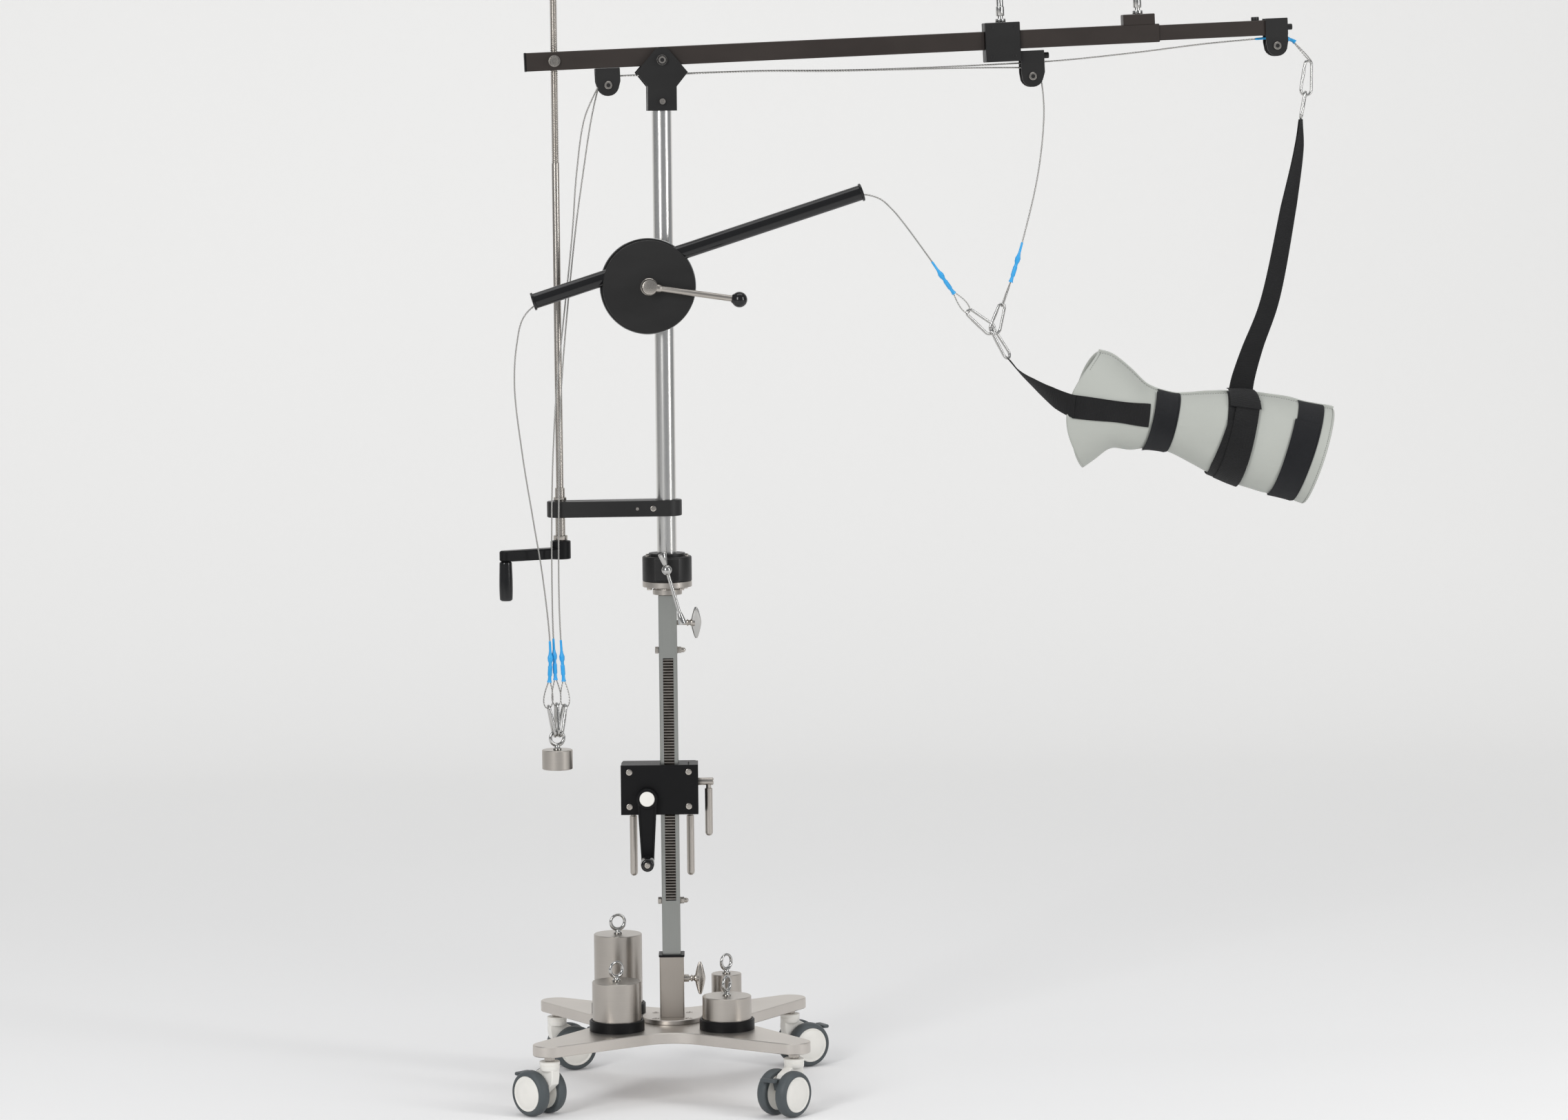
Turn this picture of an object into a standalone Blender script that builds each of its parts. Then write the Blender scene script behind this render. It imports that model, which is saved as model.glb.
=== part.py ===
"""Shoulder traction frame on a wheeled stand, modelled in metres with +Z up.

The origin is the middle of the base plate's underside, on the column's axis. The beam lies along X.
The stand is turned a little about Z under it, because the mast swivels in the head.
"""
import math

import bmesh
import bpy
from mathutils import Matrix, Vector

# Clearances
GAP = 0.0003
RUNNING = 0.0003

# Stand
STAND_YAW = math.radians(-4.2)
PLATE_T = 0.018
TIP_X = 0.197
TIP_Y = 0.205
TIP_R = 0.027
SIDE_ARC_R = 0.075
FRONT_EDGE = 0.118
SIDE_EDGE = 0.112
STEM_BOSS_H = 0.008
STEM_R = 0.004
STEM_REACH = 0.024
CUP_X = 0.090
CUP_Y = 0.082
CUP_H = 0.017
CUP_WALL = 0.0045
EYE_R = 0.0105
EYE_WIRE_R = 0.0027
FLANGE_R = 0.050
FLANGE_TOP = 0.026
SLEEVE_W = 0.040
SLEEVE_BORE = 0.0314
SLEEVE_TOP = 0.1295
BASE_WING_Z = 0.088

# Casters
WHEEL_R = 0.0375
WHEEL_W = 0.020
WHEEL_GAP = 0.020
TRAIL = 0.025
AXLE_Z = -0.0625
NECK_R = 0.0165
CASTERS = {
    "fl": (-1, -1, 135.0),
    "fr": (1, -1, -131.0),
    "rl": (-1, 1, 20.0),
    "rr": (1, 1, 30.0),
}

# Column and lift box
COLUMN_W = 0.030
COLUMN_WALL = 0.003
COLUMN_TOP = 0.725
RACK_W = 0.0165
RACK_DEPTH = 0.010
RACK_BOTTOM = 0.220
TOOTH_MODULE = 0.0015
RACK_TEETH = 85
RACK_PIN_Z = (0.307, 0.484)
HEAD_WING_Z = 0.678
BOX_LEFT = -0.0795
BOX_RIGHT = 0.032
BOX_REAR_RIGHT = 0.044
BOX_FRONT = -0.023
BOX_BACK = 0.055
BOX_BOTTOM = 0.372
BOX_TOP = 0.4456
RAIL_Z = 0.4085
RAIL_H = 0.026
RAIL_DEPTH = 0.0110
RAIL_LIP = 0.003
CRANK_X = -0.037
CRANK_Z = 0.392
CRANK_REACH = 0.102
RAIL_LEVER_X = (-0.0610, 0.0331)
RAIL_LEVER_Y = 0.046
LOCK_Z = 0.414
LOCK_X = 0.064

# Head
HUB_BOTTOM = 0.748
HUB_TOP = 0.789
HUB_R = 0.0405
CLAMP_Z = 0.7707
CLAMP_BALL_Y = -0.0655
CLAMP_BALL_R = 0.0085
TOMMY_TILT = math.radians(15.8)
TOMMY_R = 0.003

# Mast
POLE_R = 0.016
POLE_BOTTOM = 0.7515
POLE_TOP = 1.553
ARM_BOTTOM = 0.855
ARM_TOP = 0.881
SCREW_X = -0.174
SCREW_R = 0.006
SCREW_TOP = 1.780
TILT_CRANK_ANGLE = math.radians(206.0)
PIVOT_Z = 1.597
PIVOT_R = 0.005

# Guide tube clamp
CLAMP_DISC_X = -0.029
CLAMP_DISC_Z = 1.232
DISC_R = 0.075
DISC_FRONT_Y = -0.0845
DISC_FRONT_T = 0.005
DISC_REAR_Y = -0.0495
DISC_REAR_T = 0.003
TUBE_Y = -0.066
TUBE_R = 0.0125
TUBE_BORE_R = 0.0095
TUBE_LEFT = (-0.2170, TUBE_Y, 1.2095)
TUBE_RIGHT = (0.3206, TUBE_Y, 1.3805)

# Beam, in its own axes: u along it, w square to it, from the pivot
BEAM_SLOPE = math.radians(2.14)
BEAM_W = 0.030
BEAM_WALL = 0.0025
BEAM_AXIS_W = 0.0063
BEAM_LEFT = -0.2218
BEAM_RIGHT = 0.5292
JOINT_LEFT = BEAM_RIGHT + GAP
JOINT_RIGHT = JOINT_LEFT + 0.0573
OUTER_LEFT = JOINT_RIGHT + GAP
OUTER_RIGHT = OUTER_LEFT + 0.2304
OUTER_WALL = 0.0022
INNER_W = BEAM_W - 2 * (OUTER_WALL + RUNNING)
INNER_LEFT = OUTER_RIGHT - 0.1175
INNER_RIGHT = OUTER_RIGHT + 0.2086
SHEAVE_R = 0.017
CORD_R = 0.00125
GROOVE_R = 0.014
GROOVE_Y = 0.004
LEFT_SHEAVE = (-0.0884, -0.0367)
MID_SHEAVE = (OUTER_LEFT + 0.0183, -0.0546)
END_SHEAVE = (INNER_RIGHT - 0.0150, -0.0237)
TUBE_LOCK_U = OUTER_RIGHT - 0.0330
NUT_U = -0.1739

# Hanging pieces
HANG = Vector((-0.186, -0.045, 0.446))
HANG_H = 0.032
HANG_EYE_R = 0.0115
SNAP_WIRE_R = 0.0024
HOOK_PLAY = 0.0006
EYE_HOOK = HANG + Vector((0, 0, HANG_H + 0.006 + 2 * HANG_EYE_R - EYE_WIRE_R - SNAP_WIRE_R - HOOK_PLAY))
V_POINT = Vector((0.5410, -0.004, 1.1480))
A_END = Vector((0.4980, -0.010, 1.1830))
B_END = Vector((0.5565, -0.002, 1.1930))
C_END = Vector((1.0660, 0.0, 1.5860))


def clear_scene():
    for old in list(bpy.data.objects):
        bpy.data.objects.remove(old, do_unlink=True)


def material(name, colour, roughness, metallic):
    found = bpy.data.materials.get(name)
    if found:
        return found
    made = bpy.data.materials.new(name)
    made.use_nodes = True
    shader = made.node_tree.nodes["Principled BSDF"]
    shader.inputs["Base Color"].default_value = (*colour, 1.0)
    shader.inputs["Roughness"].default_value = roughness
    shader.inputs["Metallic"].default_value = metallic
    made.diffuse_color = (*colour, 1.0)
    return made


def steel():
    return material("brushed stainless steel", (0.62, 0.60, 0.57), 0.32, 1.0)


def chrome():
    return material("polished steel", (0.78, 0.78, 0.78), 0.12, 1.0)


def anodised():
    return material("satin black anodised", (0.022, 0.021, 0.020), 0.42, 0.6)


def black_plastic():
    return material("black plastic", (0.018, 0.018, 0.019), 0.45, 0.0)


def white_plastic():
    return material("white plastic", (0.80, 0.80, 0.77), 0.40, 0.0)


def tyre_grey():
    return material("grey tyre", (0.13, 0.15, 0.15), 0.55, 0.0)


def webbing():
    return material("black webbing", (0.015, 0.015, 0.017), 0.80, 0.0)


def cuff_grey():
    return material("light grey padded cover", (0.52, 0.54, 0.50), 0.50, 0.0)


def mesh_object(name, bm):
    bmesh.ops.recalc_face_normals(bm, faces=bm.faces)
    mesh = bpy.data.meshes.new(name)
    bm.to_mesh(mesh)
    bm.free()
    made = bpy.data.objects.new(name, mesh)
    bpy.context.scene.collection.objects.link(made)
    return made


def box(x0, x1, y0, y1, z0, z1, soften=0.0, name="block"):
    """A block between six limits, its edges softened by a bevel of one step."""
    bm = bmesh.new()
    middle = Matrix.Translation(((x0 + x1) / 2, (y0 + y1) / 2, (z0 + z1) / 2))
    size = Matrix.Diagonal((x1 - x0, y1 - y0, z1 - z0, 1.0))
    bmesh.ops.create_cube(bm, size=1.0, matrix=middle @ size)
    if soften:
        bmesh.ops.bevel(bm, geom=bm.edges[:], offset=soften, segments=1, affect="EDGES")
    return mesh_object(name, bm)


def axis_matrix(origin, direction):
    """A matrix that puts +Z along the direction and the zero point at the origin."""
    turn = Vector((0, 0, 1)).rotation_difference(Vector(direction).normalized())
    return Matrix.Translation(origin) @ turn.to_matrix().to_4x4()


def turned(profile, origin=(0, 0, 0), direction=(0, 0, 1), sides=18, name="turned"):
    """A solid of revolution: the profile lists radius and height, from bottom to top.

    A profile that starts and ends at radius 0 is a full solid; any other one is a closed ring.
    """
    bm = bmesh.new()
    rings = []
    for radius, height in profile:
        if radius < 1e-9:
            rings.append([bm.verts.new((0, 0, height))])
            continue
        ring = []
        for i in range(sides):
            angle = 2 * math.pi * i / sides
            ring.append(bm.verts.new((radius * math.cos(angle), radius * math.sin(angle), height)))
        rings.append(ring)
    full = len(rings[0]) == 1 and len(rings[-1]) == 1
    pairs = list(zip(rings, rings[1:]))
    if not full:
        pairs.append((rings[-1], rings[0]))
    for low, high in pairs:
        for i in range(sides):
            j = (i + 1) % sides
            corners = [low[i % len(low)], low[j % len(low)], high[j % len(high)], high[i % len(high)]]
            corners = list(dict.fromkeys(corners))
            if len(corners) > 2:
                bm.faces.new(corners)
    bmesh.ops.transform(bm, matrix=axis_matrix(origin, direction), verts=bm.verts)
    return mesh_object(name, bm)


def rod(radius, start, end, sides=16, chamfer=0.0):
    """A round bar between two points, with an optional chamfer on both ends."""
    start = Vector(start)
    end = Vector(end)
    length = (end - start).length
    if chamfer:
        profile = [(0, 0), (radius - chamfer, 0), (radius, chamfer),
                   (radius, length - chamfer), (radius - chamfer, length), (0, length)]
    else:
        profile = [(0, 0), (radius, 0), (radius, length), (0, length)]
    return turned(profile, start, end - start, sides)


def extruded(outline, start, vector, soften=0.0):
    """An outline of 3-D points in one plane, pushed along a vector."""
    bm = bmesh.new()
    face = bm.faces.new([bm.verts.new(Vector(start) + Vector(p)) for p in outline])
    pushed = bmesh.ops.extrude_face_region(bm, geom=[face])
    moved = [item for item in pushed["geom"] if isinstance(item, bmesh.types.BMVert)]
    bmesh.ops.translate(bm, vec=vector, verts=moved)
    if soften:
        rims = [e for e in bm.edges if e.calc_face_angle(0.0) > 1.0]
        bmesh.ops.bevel(bm, geom=rims, offset=soften, segments=1, affect="EDGES")
    return mesh_object("extruded", bm)


def arc(cx, cz, radius, start_deg, end_deg, steps):
    points = []
    for i in range(steps + 1):
        angle = math.radians(start_deg + (end_deg - start_deg) * i / steps)
        points.append((cx + radius * math.cos(angle), cz + radius * math.sin(angle)))
    return points


def in_xz(points):
    return [(x, 0.0, z) for x, z in points]


def torus(origin, normal, ring_r, wire_r, around=20, section=8):
    """A closed ring of round wire."""
    bm = bmesh.new()
    rings = []
    for i in range(around):
        turn = 2 * math.pi * i / around
        ring = []
        for j in range(section):
            angle = 2 * math.pi * j / section
            r = ring_r + wire_r * math.cos(angle)
            ring.append(bm.verts.new((r * math.cos(turn), r * math.sin(turn), wire_r * math.sin(angle))))
        rings.append(ring)
    for i in range(around):
        first = rings[i]
        second = rings[(i + 1) % around]
        for j in range(section):
            k = (j + 1) % section
            bm.faces.new((first[j], second[j], second[k], first[k]))
    bmesh.ops.transform(bm, matrix=axis_matrix(origin, normal), verts=bm.verts)
    return mesh_object("ring", bm)


def boolean(target, tool, operation):
    step = target.modifiers.new(operation.lower(), "BOOLEAN")
    step.operation = operation
    step.solver = "EXACT"
    step.object = tool
    tool.hide_render = True
    tool.display_type = "WIRE"
    tool.name = "tool"
    return target


def join(target, *tools):
    for tool in tools:
        boolean(target, tool, "UNION")
    return target


def cut(target, *tools):
    for tool in tools:
        boolean(target, tool, "DIFFERENCE")
    return target


def tools_of(target):
    return [step.object for step in target.modifiers if step.type == "BOOLEAN"]


def finish(target, name, look, pivot=(0, 0, 0), frame=None):
    """Name a piece, give it its material and put its origin on its pivot."""
    pivot = Vector(pivot)
    target.name = name
    target.data.name = name
    if target.type == "MESH":
        target.data.transform(Matrix.Translation(-pivot))
        target.data.shade_smooth()
        target.data.set_sharp_from_angle(angle=math.radians(35))
    target.data.materials.append(look)
    target.location = pivot
    for tool in tools_of(target):
        for inner in tools_of(tool):
            inner.parent = tool
        tool.parent = target
        tool.location = -pivot
    target.parent = frame
    return target


def frame_empty(name, location, rotation):
    empty = bpy.data.objects.new(name, None)
    empty.location = location
    empty.rotation_euler = rotation
    bpy.context.scene.collection.objects.link(empty)
    return empty


def plate_outline():
    """The stand's X-shaped plate: round tips joined by straight sides and hollow arcs."""
    points = []
    quarter = [(TIP_X, -TIP_Y, -1, 0), (TIP_X, TIP_Y, 0, 1), (-TIP_X, TIP_Y, 1, 0), (-TIP_X, -TIP_Y, 0, -1)]
    hollows = [(0, -(FRONT_EDGE + SIDE_ARC_R)), (SIDE_EDGE + SIDE_ARC_R, 0),
               (0, FRONT_EDGE + SIDE_ARC_R), (-(SIDE_EDGE + SIDE_ARC_R), 0)]
    for k in range(4):
        hollow = Vector(hollows[k])
        before = Vector(quarter[k - 1][:2])
        after = Vector(quarter[k][:2])
        points += hollow_arc(hollow, before, after)
        points += tip_arc(after, hollow, Vector(hollows[(k + 1) % 4]))
    return [(p.x, p.y, 0.0) for p in points]


def tangent_turn(a, b):
    """Direction from a towards b turned so that a line touches both circles on opposite sides."""
    span = b - a
    swing = math.asin((SIDE_ARC_R + TIP_R) / span.length)
    return math.atan2(span.y, span.x), swing


def hollow_arc(centre, before, after, steps=4):
    base_a, swing_a = tangent_turn(centre, before)
    base_b, swing_b = tangent_turn(centre, after)
    start = base_a - (math.pi / 2 - swing_a)
    end = base_b + (math.pi / 2 - swing_b)
    while end > start:
        end -= 2 * math.pi
    while start - end > math.pi:
        end += 2 * math.pi
    points = []
    for i in range(steps + 1):
        angle = start + (end - start) * i / steps
        points.append(centre + SIDE_ARC_R * Vector((math.cos(angle), math.sin(angle))))
    return points


def tip_arc(tip, hollow_in, hollow_out, steps=6):
    base_a, swing_a = tangent_turn(hollow_in, tip)
    base_b, swing_b = tangent_turn(hollow_out, tip)
    start = base_a + (math.pi / 2 - swing_a) + math.pi
    end = base_b - (math.pi / 2 - swing_b) + math.pi
    while end < start:
        end += 2 * math.pi
    while end - start > 2 * math.pi:
        end -= 2 * math.pi
    points = []
    for i in range(steps + 1):
        angle = start + (end - start) * i / steps
        points.append(tip + TIP_R * Vector((math.cos(angle), math.sin(angle))))
    return points


def cup_ring(x, y, outer):
    inner = outer - CUP_WALL
    top = PLATE_T + CUP_H
    profile = [(inner, PLATE_T - 0.001), (outer, PLATE_T - 0.001), (outer, top), (inner, top)]
    return turned(profile, (x, y, 0), sides=16)


def base_plate(frame):
    plate = extruded(plate_outline(), (0, 0, 0), (0, 0, PLATE_T))
    for side_x, side_y, _ in CASTERS.values():
        stem_x = side_x * TIP_X
        stem_y = side_y * TIP_Y
        profile = [(0, -STEM_REACH), (STEM_R, -STEM_REACH), (STEM_R, -STEM_BOSS_H), (0.0095, -STEM_BOSS_H),
                   (0.0095, 0.002), (0, 0.002)]
        join(plate, turned(profile, (stem_x, stem_y, 0), sides=6))
    for side_x, side_y, _ in CASTERS.values():
        outer = 0.030 if (side_x, side_y) == (1, 1) else 0.045
        join(plate, cup_ring(side_x * CUP_X, side_y * CUP_Y, outer))
    return finish(plate, "base_plate", steel(), (0, 0, 0), frame)


def eye_bolt(x, y, z, ring_r=EYE_R, wire_r=EYE_WIRE_R, turn=0.0):
    """A collar on a weight and the ring that stands on it."""
    profile = [(0, -0.003), (0.0065, -0.003), (0.0065, 0.0020), (0.0040, 0.0075), (0, 0.0075)]
    collar = turned(profile, (x, y, z), sides=8)
    ring_z = z + 0.006 + ring_r
    ring = torus((x, y, ring_z), (math.sin(turn), -math.cos(turn), 0), ring_r, wire_r, 12, 5)
    return collar, ring


def weight(name, x, y, z, radius, height, frame=None, ring_r=EYE_R, turn=0.4):
    profile = [(0, 0), (radius, 0), (radius, height - 0.001), (radius - 0.001, height), (0, height)]
    body = turned(profile, (x, y, z), sides=16)
    join(body, *eye_bolt(x, y, z + height, ring_r, turn=turn))
    return finish(body, name, steel(), (x, y, z), frame)


def stored_weights(frame):
    z = PLATE_T + GAP
    weight("weight_5kg", -CUP_X, CUP_Y, z, 0.0400, 0.132, frame)
    weight("weight_3kg", -CUP_X, -CUP_Y, z, 0.0400, 0.080, frame)
    weight("weight_2kg", CUP_X, -CUP_Y, z, 0.0400, 0.054, frame)
    weight("weight_1kg", CUP_X, CUP_Y, z, 0.0250, 0.063, frame)


def caster(corner, frame):
    """One swivel fork and its pair of wheels, at the angle in which it has come to rest."""
    side_x, side_y, heading = CASTERS[corner]
    stem = Vector((side_x * TIP_X, side_y * TIP_Y, 0))
    turn = math.radians(heading)
    swivel = frame_empty("swivel_" + corner, stem, (0, 0, turn))
    swivel.parent = frame
    caster_fork(corner, swivel)
    caster_wheels(corner, swivel)


def caster_fork(corner, swivel):
    """A neck with a stem bore, a web that runs down between the wheels, and a brake pedal."""
    top = -STEM_BOSS_H - 0.001
    neck = turned([(0, -0.0235), (NECK_R - 0.002, -0.0235), (NECK_R, -0.0215), (NECK_R, top - 0.001),
                   (NECK_R - 0.001, top), (0, top)], sides=10)
    half = WHEEL_GAP / 2 - 0.0015
    side = [(-NECK_R + 0.003, -0.0215), (-NECK_R + 0.001, -0.032), (-NECK_R + 0.004, -0.046)]
    side += arc(TRAIL, AXLE_Z, 0.0115, 215, 375, 5)
    side += [(TRAIL + 0.015, -0.046), (TRAIL + 0.008, -0.032), (NECK_R - 0.003, -0.0215)]
    web = extruded(in_xz(side), (0, -half, 0), (0, 2 * half, 0))
    pedal = extruded(in_xz([(TRAIL + 0.010, -0.052), (TRAIL + 0.011, -0.036), (TRAIL + 0.034, -0.0345),
                            (TRAIL + 0.034, -0.0380), (TRAIL + 0.018, -0.0440)]),
                     (0, -half + 0.0004, 0), (0, 2 * half - 0.0008, 0))
    foot = box(TRAIL + 0.0325, TRAIL + 0.0440, -0.015, 0.015, -0.0385, -0.0340)
    join(neck, web, pedal, foot)
    bore = rod(STEM_R + RUNNING, (0, 0, -STEM_REACH - 0.001), (0, 0, 0), 10)
    axle_bore = rod(0.004 + RUNNING, (TRAIL, -0.02, AXLE_Z), (TRAIL, 0.02, AXLE_Z), 8)
    cut(neck, bore, axle_bore)
    return finish(neck, "caster_fork_" + corner, white_plastic(), (0, 0, 0), swivel)


def caster_wheels(corner, swivel):
    """Two wheels with round tyres and shallow discs, joined by their axle."""
    near = WHEEL_GAP / 2
    far = near + WHEEL_W
    r = WHEEL_R
    half = [(0, near), (r - 0.004, near), (r, near + 0.006), (r, near + 0.014), (r - 0.0070, far), (0, far)]
    first = turned(half, direction=(0, 1, 0), sides=16)
    second = turned(half, direction=(0, -1, 0), sides=16)
    axle = rod(0.004, (0, -near - 0.004, 0), (0, near + 0.004, 0), 8)
    join(first, second, axle)
    made = finish(first, "caster_wheels_" + corner, tyre_grey(), (0, 0, 0), swivel)
    made.location = (TRAIL, 0, AXLE_Z)
    return made


def sleeve_post(frame):
    profile = [(0, PLATE_T + GAP), (FLANGE_R, PLATE_T + GAP), (FLANGE_R, FLANGE_TOP - 0.001),
               (FLANGE_R - 0.001, FLANGE_TOP), (0, FLANGE_TOP)]
    flange = turned(profile, sides=20)
    half = SLEEVE_W / 2
    post = box(-half, half, -half, half, FLANGE_TOP - 0.001, SLEEVE_TOP)
    rim = box(-half - 0.001, half + 0.001, -half - 0.001, half + 0.001, SLEEVE_TOP - 0.003,
              SLEEVE_TOP + 0.0005, 0.0008)
    boss = rod(0.006, (half - 0.001, 0, BASE_WING_Z), (half + 0.008, 0, BASE_WING_Z), 12, 0.0006)
    join(flange, post, rim, boss)
    inner = SLEEVE_BORE / 2
    cut(flange, box(-inner, inner, -inner, inner, FLANGE_TOP, SLEEVE_TOP + 0.002))
    cut(flange, rod(0.004 + RUNNING, (0.004, 0, BASE_WING_Z), (half + 0.010, 0, BASE_WING_Z), 10))
    for k in range(4):
        angle = math.radians(45 + 90 * k)
        x = 0.039 * math.cos(angle)
        y = 0.039 * math.sin(angle)
        cut(flange, turned([(0, -0.0025), (0.0025, -0.0025), (0.0052, 0.0005), (0, 0.0005)],
                           (x, y, FLANGE_TOP), sides=8))
    return finish(flange, "sleeve_post", steel(), (0, 0, 0), frame)


def wing_screw(name, z, tip_x, wing_x, frame, tilt=0.0):
    """A clamping screw along X with a lens-shaped wing for the fingers."""
    screw = turned([(0, tip_x), (0.0032, tip_x), (0.004, tip_x + 0.001), (0.004, 0.0315), (0.0055, 0.0315),
                    (0.0055, 0.0335), (0.0040, 0.0345), (0.0060, 0.0385), (0.0060, wing_x - 0.002),
                    (0, wing_x - 0.002)], (0, 0, z), (1, 0, 0), 10)
    bm = bmesh.new()
    bmesh.ops.create_uvsphere(bm, u_segments=8, v_segments=6, radius=1.0)
    shape = Matrix.Diagonal((0.0088, 0.0040, 0.0285, 1.0))
    lean = Matrix.Rotation(tilt, 4, "X") @ Matrix.Rotation(math.radians(6), 4, "Z")
    bmesh.ops.transform(bm, matrix=Matrix.Translation((wing_x, 0, z)) @ lean @ shape, verts=bm.verts)
    join(screw, mesh_object("wing", bm))
    return finish(screw, name, steel(), (0, 0, z), frame)


def column_tube(frame):
    half = COLUMN_W / 2
    inner = half - COLUMN_WALL
    tube = box(-half, half, -half, half, FLANGE_TOP + GAP, COLUMN_TOP, 0.0012)
    cut(tube, box(-inner, inner, -inner, inner, FLANGE_TOP - 0.01, COLUMN_TOP + 0.01))
    slot = RACK_W / 2 + GAP
    top = RACK_BOTTOM + RACK_TEETH * math.pi * TOOTH_MODULE
    cut(tube, box(-slot, slot, -half - 0.01, -half + 0.005, RACK_BOTTOM - GAP, top + GAP))
    cut(tube, rod(0.004 + RUNNING, (half - 0.006, 0, HEAD_WING_Z), (half + 0.004, 0, HEAD_WING_Z), 10))
    for z in RACK_PIN_Z:
        cut(tube, rod(0.0025 + GAP, (-half - 0.01, rack_pin_y(), z), (half + 0.01, rack_pin_y(), z), 10))
    return finish(tube, "column_tube", steel(), (0, 0, 0), frame)


def rack_pin_y():
    return -COLUMN_W / 2 + 0.0075


def rack(frame):
    """A straight gear in the column's front, with its two cross pins."""
    front = -COLUMN_W / 2 + 0.0002
    pitch = math.pi * TOOTH_MODULE
    root = front + 2.25 * TOOTH_MODULE
    points = []
    for i in range(RACK_TEETH):
        z = RACK_BOTTOM + i * pitch
        points += [(front, z + 0.30 * pitch), (front, z + 0.70 * pitch), (root, z + pitch)]
    top = RACK_BOTTOM + RACK_TEETH * pitch
    back = front + RACK_DEPTH
    outline = [(0.0, root, RACK_BOTTOM)] + [(0.0, y, z) for y, z in points]
    outline += [(0.0, back, top), (0.0, back, RACK_BOTTOM)]
    bar = extruded(outline, (-RACK_W / 2, 0, 0), (RACK_W, 0, 0))
    reach = COLUMN_W / 2 - 0.0005
    for z in RACK_PIN_Z:
        join(bar, rod(0.0025, (-reach, rack_pin_y(), z), (reach, rack_pin_y(), z), 10))
    return finish(bar, "rack", steel(), (0, 0, 0), frame)


def lift_box(frame):
    body = box(BOX_LEFT, BOX_RIGHT, BOX_FRONT, 0.030, BOX_BOTTOM, BOX_TOP, 0.002)
    rear = box(BOX_LEFT + 0.001, BOX_REAR_RIGHT, 0.004, BOX_BACK, BOX_BOTTOM + 0.002, BOX_TOP - 0.002, 0.0015)
    join(body, rear)
    half = COLUMN_W / 2 + RUNNING
    cut(body, box(-half, half, -half, half, BOX_BOTTOM - 0.01, BOX_TOP + 0.01))
    low = RAIL_Z - RAIL_H / 2
    high = RAIL_Z + RAIL_H / 2
    wall = BOX_BACK - RAIL_LIP
    cut(body, box(BOX_LEFT - 0.01, BOX_REAR_RIGHT + 0.01, wall - RAIL_DEPTH, wall, low, high))
    cut(body, box(BOX_LEFT - 0.01, BOX_REAR_RIGHT + 0.01, wall - 0.001, BOX_BACK + 0.01,
                  low + 0.003, high - 0.004))
    cut(body, rod(0.0053, (CRANK_X, BOX_FRONT - 0.01, CRANK_Z), (CRANK_X, BOX_FRONT + 0.0185, CRANK_Z), 12))
    for x in RAIL_LEVER_X:
        cut(body, rod(0.0043, (x, RAIL_LEVER_Y, BOX_BOTTOM - 0.01), (x, RAIL_LEVER_Y, low + 0.001), 10))
    cut(body, rod(0.0043, (0.010, 0.008, LOCK_Z), (BOX_REAR_RIGHT + 0.01, 0.008, LOCK_Z), 10))
    return finish(body, "lift_box", black_plastic(), (0, 0, 0), frame)


def crank_outline(reach, hub_r, end_r, steps=6):
    """A tapering crank arm that hangs down from its hub, in the XZ plane."""
    points = arc(0, 0, hub_r, 180, 0, steps)
    points += [(end_r, -reach)]
    points += arc(0, -reach, end_r, 0, -180, steps)[1:-1]
    points += [(-end_r, -reach)]
    return points


def lift_crank(frame):
    front = BOX_FRONT - GAP
    hub = turned([(0, -0.0180), (0.005, -0.0180), (0.005, 0), (0.0145, 0), (0.0145, 0.0175), (0.011, 0.0175),
                  (0.011, 0.0200), (0, 0.0200)], (CRANK_X, front, CRANK_Z), (0, -1, 0), 16)
    outline = [(CRANK_X + x, 0, CRANK_Z + z) for x, z in crank_outline(CRANK_REACH, 0.0132, 0.0095)]
    arm = extruded(outline, (0, front - 0.0165, 0), (0, 0.0090, 0))
    join(hub, arm)
    bolt = rod(0.0041, (CRANK_X, front - 0.030, CRANK_Z - CRANK_REACH),
               (CRANK_X, front, CRANK_Z - CRANK_REACH), 10)
    panel = extruded([(CRANK_X - 0.0060, 0, CRANK_Z - 0.026), (CRANK_X + 0.0060, 0, CRANK_Z - 0.026),
                      (CRANK_X + 0.0042, 0, CRANK_Z - 0.078), (CRANK_X - 0.0042, 0, CRANK_Z - 0.078)],
                     (0, front - 0.030, 0), (0, 0.0145, 0))
    cut(hub, panel, bolt)
    return finish(hub, "lift_crank", black_plastic(), (CRANK_X, front, CRANK_Z), frame)


def grip_profile(length):
    return [(0, -0.0120), (0.0038, -0.0120), (0.0038, 0.0), (0.0085, 0.0), (0.0102, 0.0018),
            (0.0110, length * 0.55), (0.0104, length * 0.90), (0.0080, length), (0, length)]


def lift_crank_grip(frame):
    place = (CRANK_X, BOX_FRONT - GAP - 0.0168, CRANK_Z - CRANK_REACH)
    grip = turned(grip_profile(0.055), place, (0, -1, 0), 12)
    return finish(grip, "lift_crank_grip", black_plastic(), place, frame)


def swing_lever(length, screw):
    """The profile of a clamping lever: a screw, a head, a slotted neck and a round-ended rod."""
    return [(0, -screw), (0.0032, -screw), (0.0040, 0.001 - screw), (0.0040, 0.0), (0.0062, 0.0),
            (0.0062, 0.0155), (0.0042, 0.0162), (0.0042, 0.0180), (0.0062, 0.0188), (0.0062, length - 0.004),
            (0.0045, length - 0.001), (0, length)]


def rail_levers(frame):
    low = RAIL_Z - RAIL_H / 2
    for side, x in zip(("left", "right"), RAIL_LEVER_X):
        start = (x, RAIL_LEVER_Y, BOX_BOTTOM - GAP)
        lever = turned(swing_lever(0.119, low - BOX_BOTTOM - 0.001), start, (0, 0, -1), 10)
        finish(lever, "rail_lever_" + side, steel(), start, frame)


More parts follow.
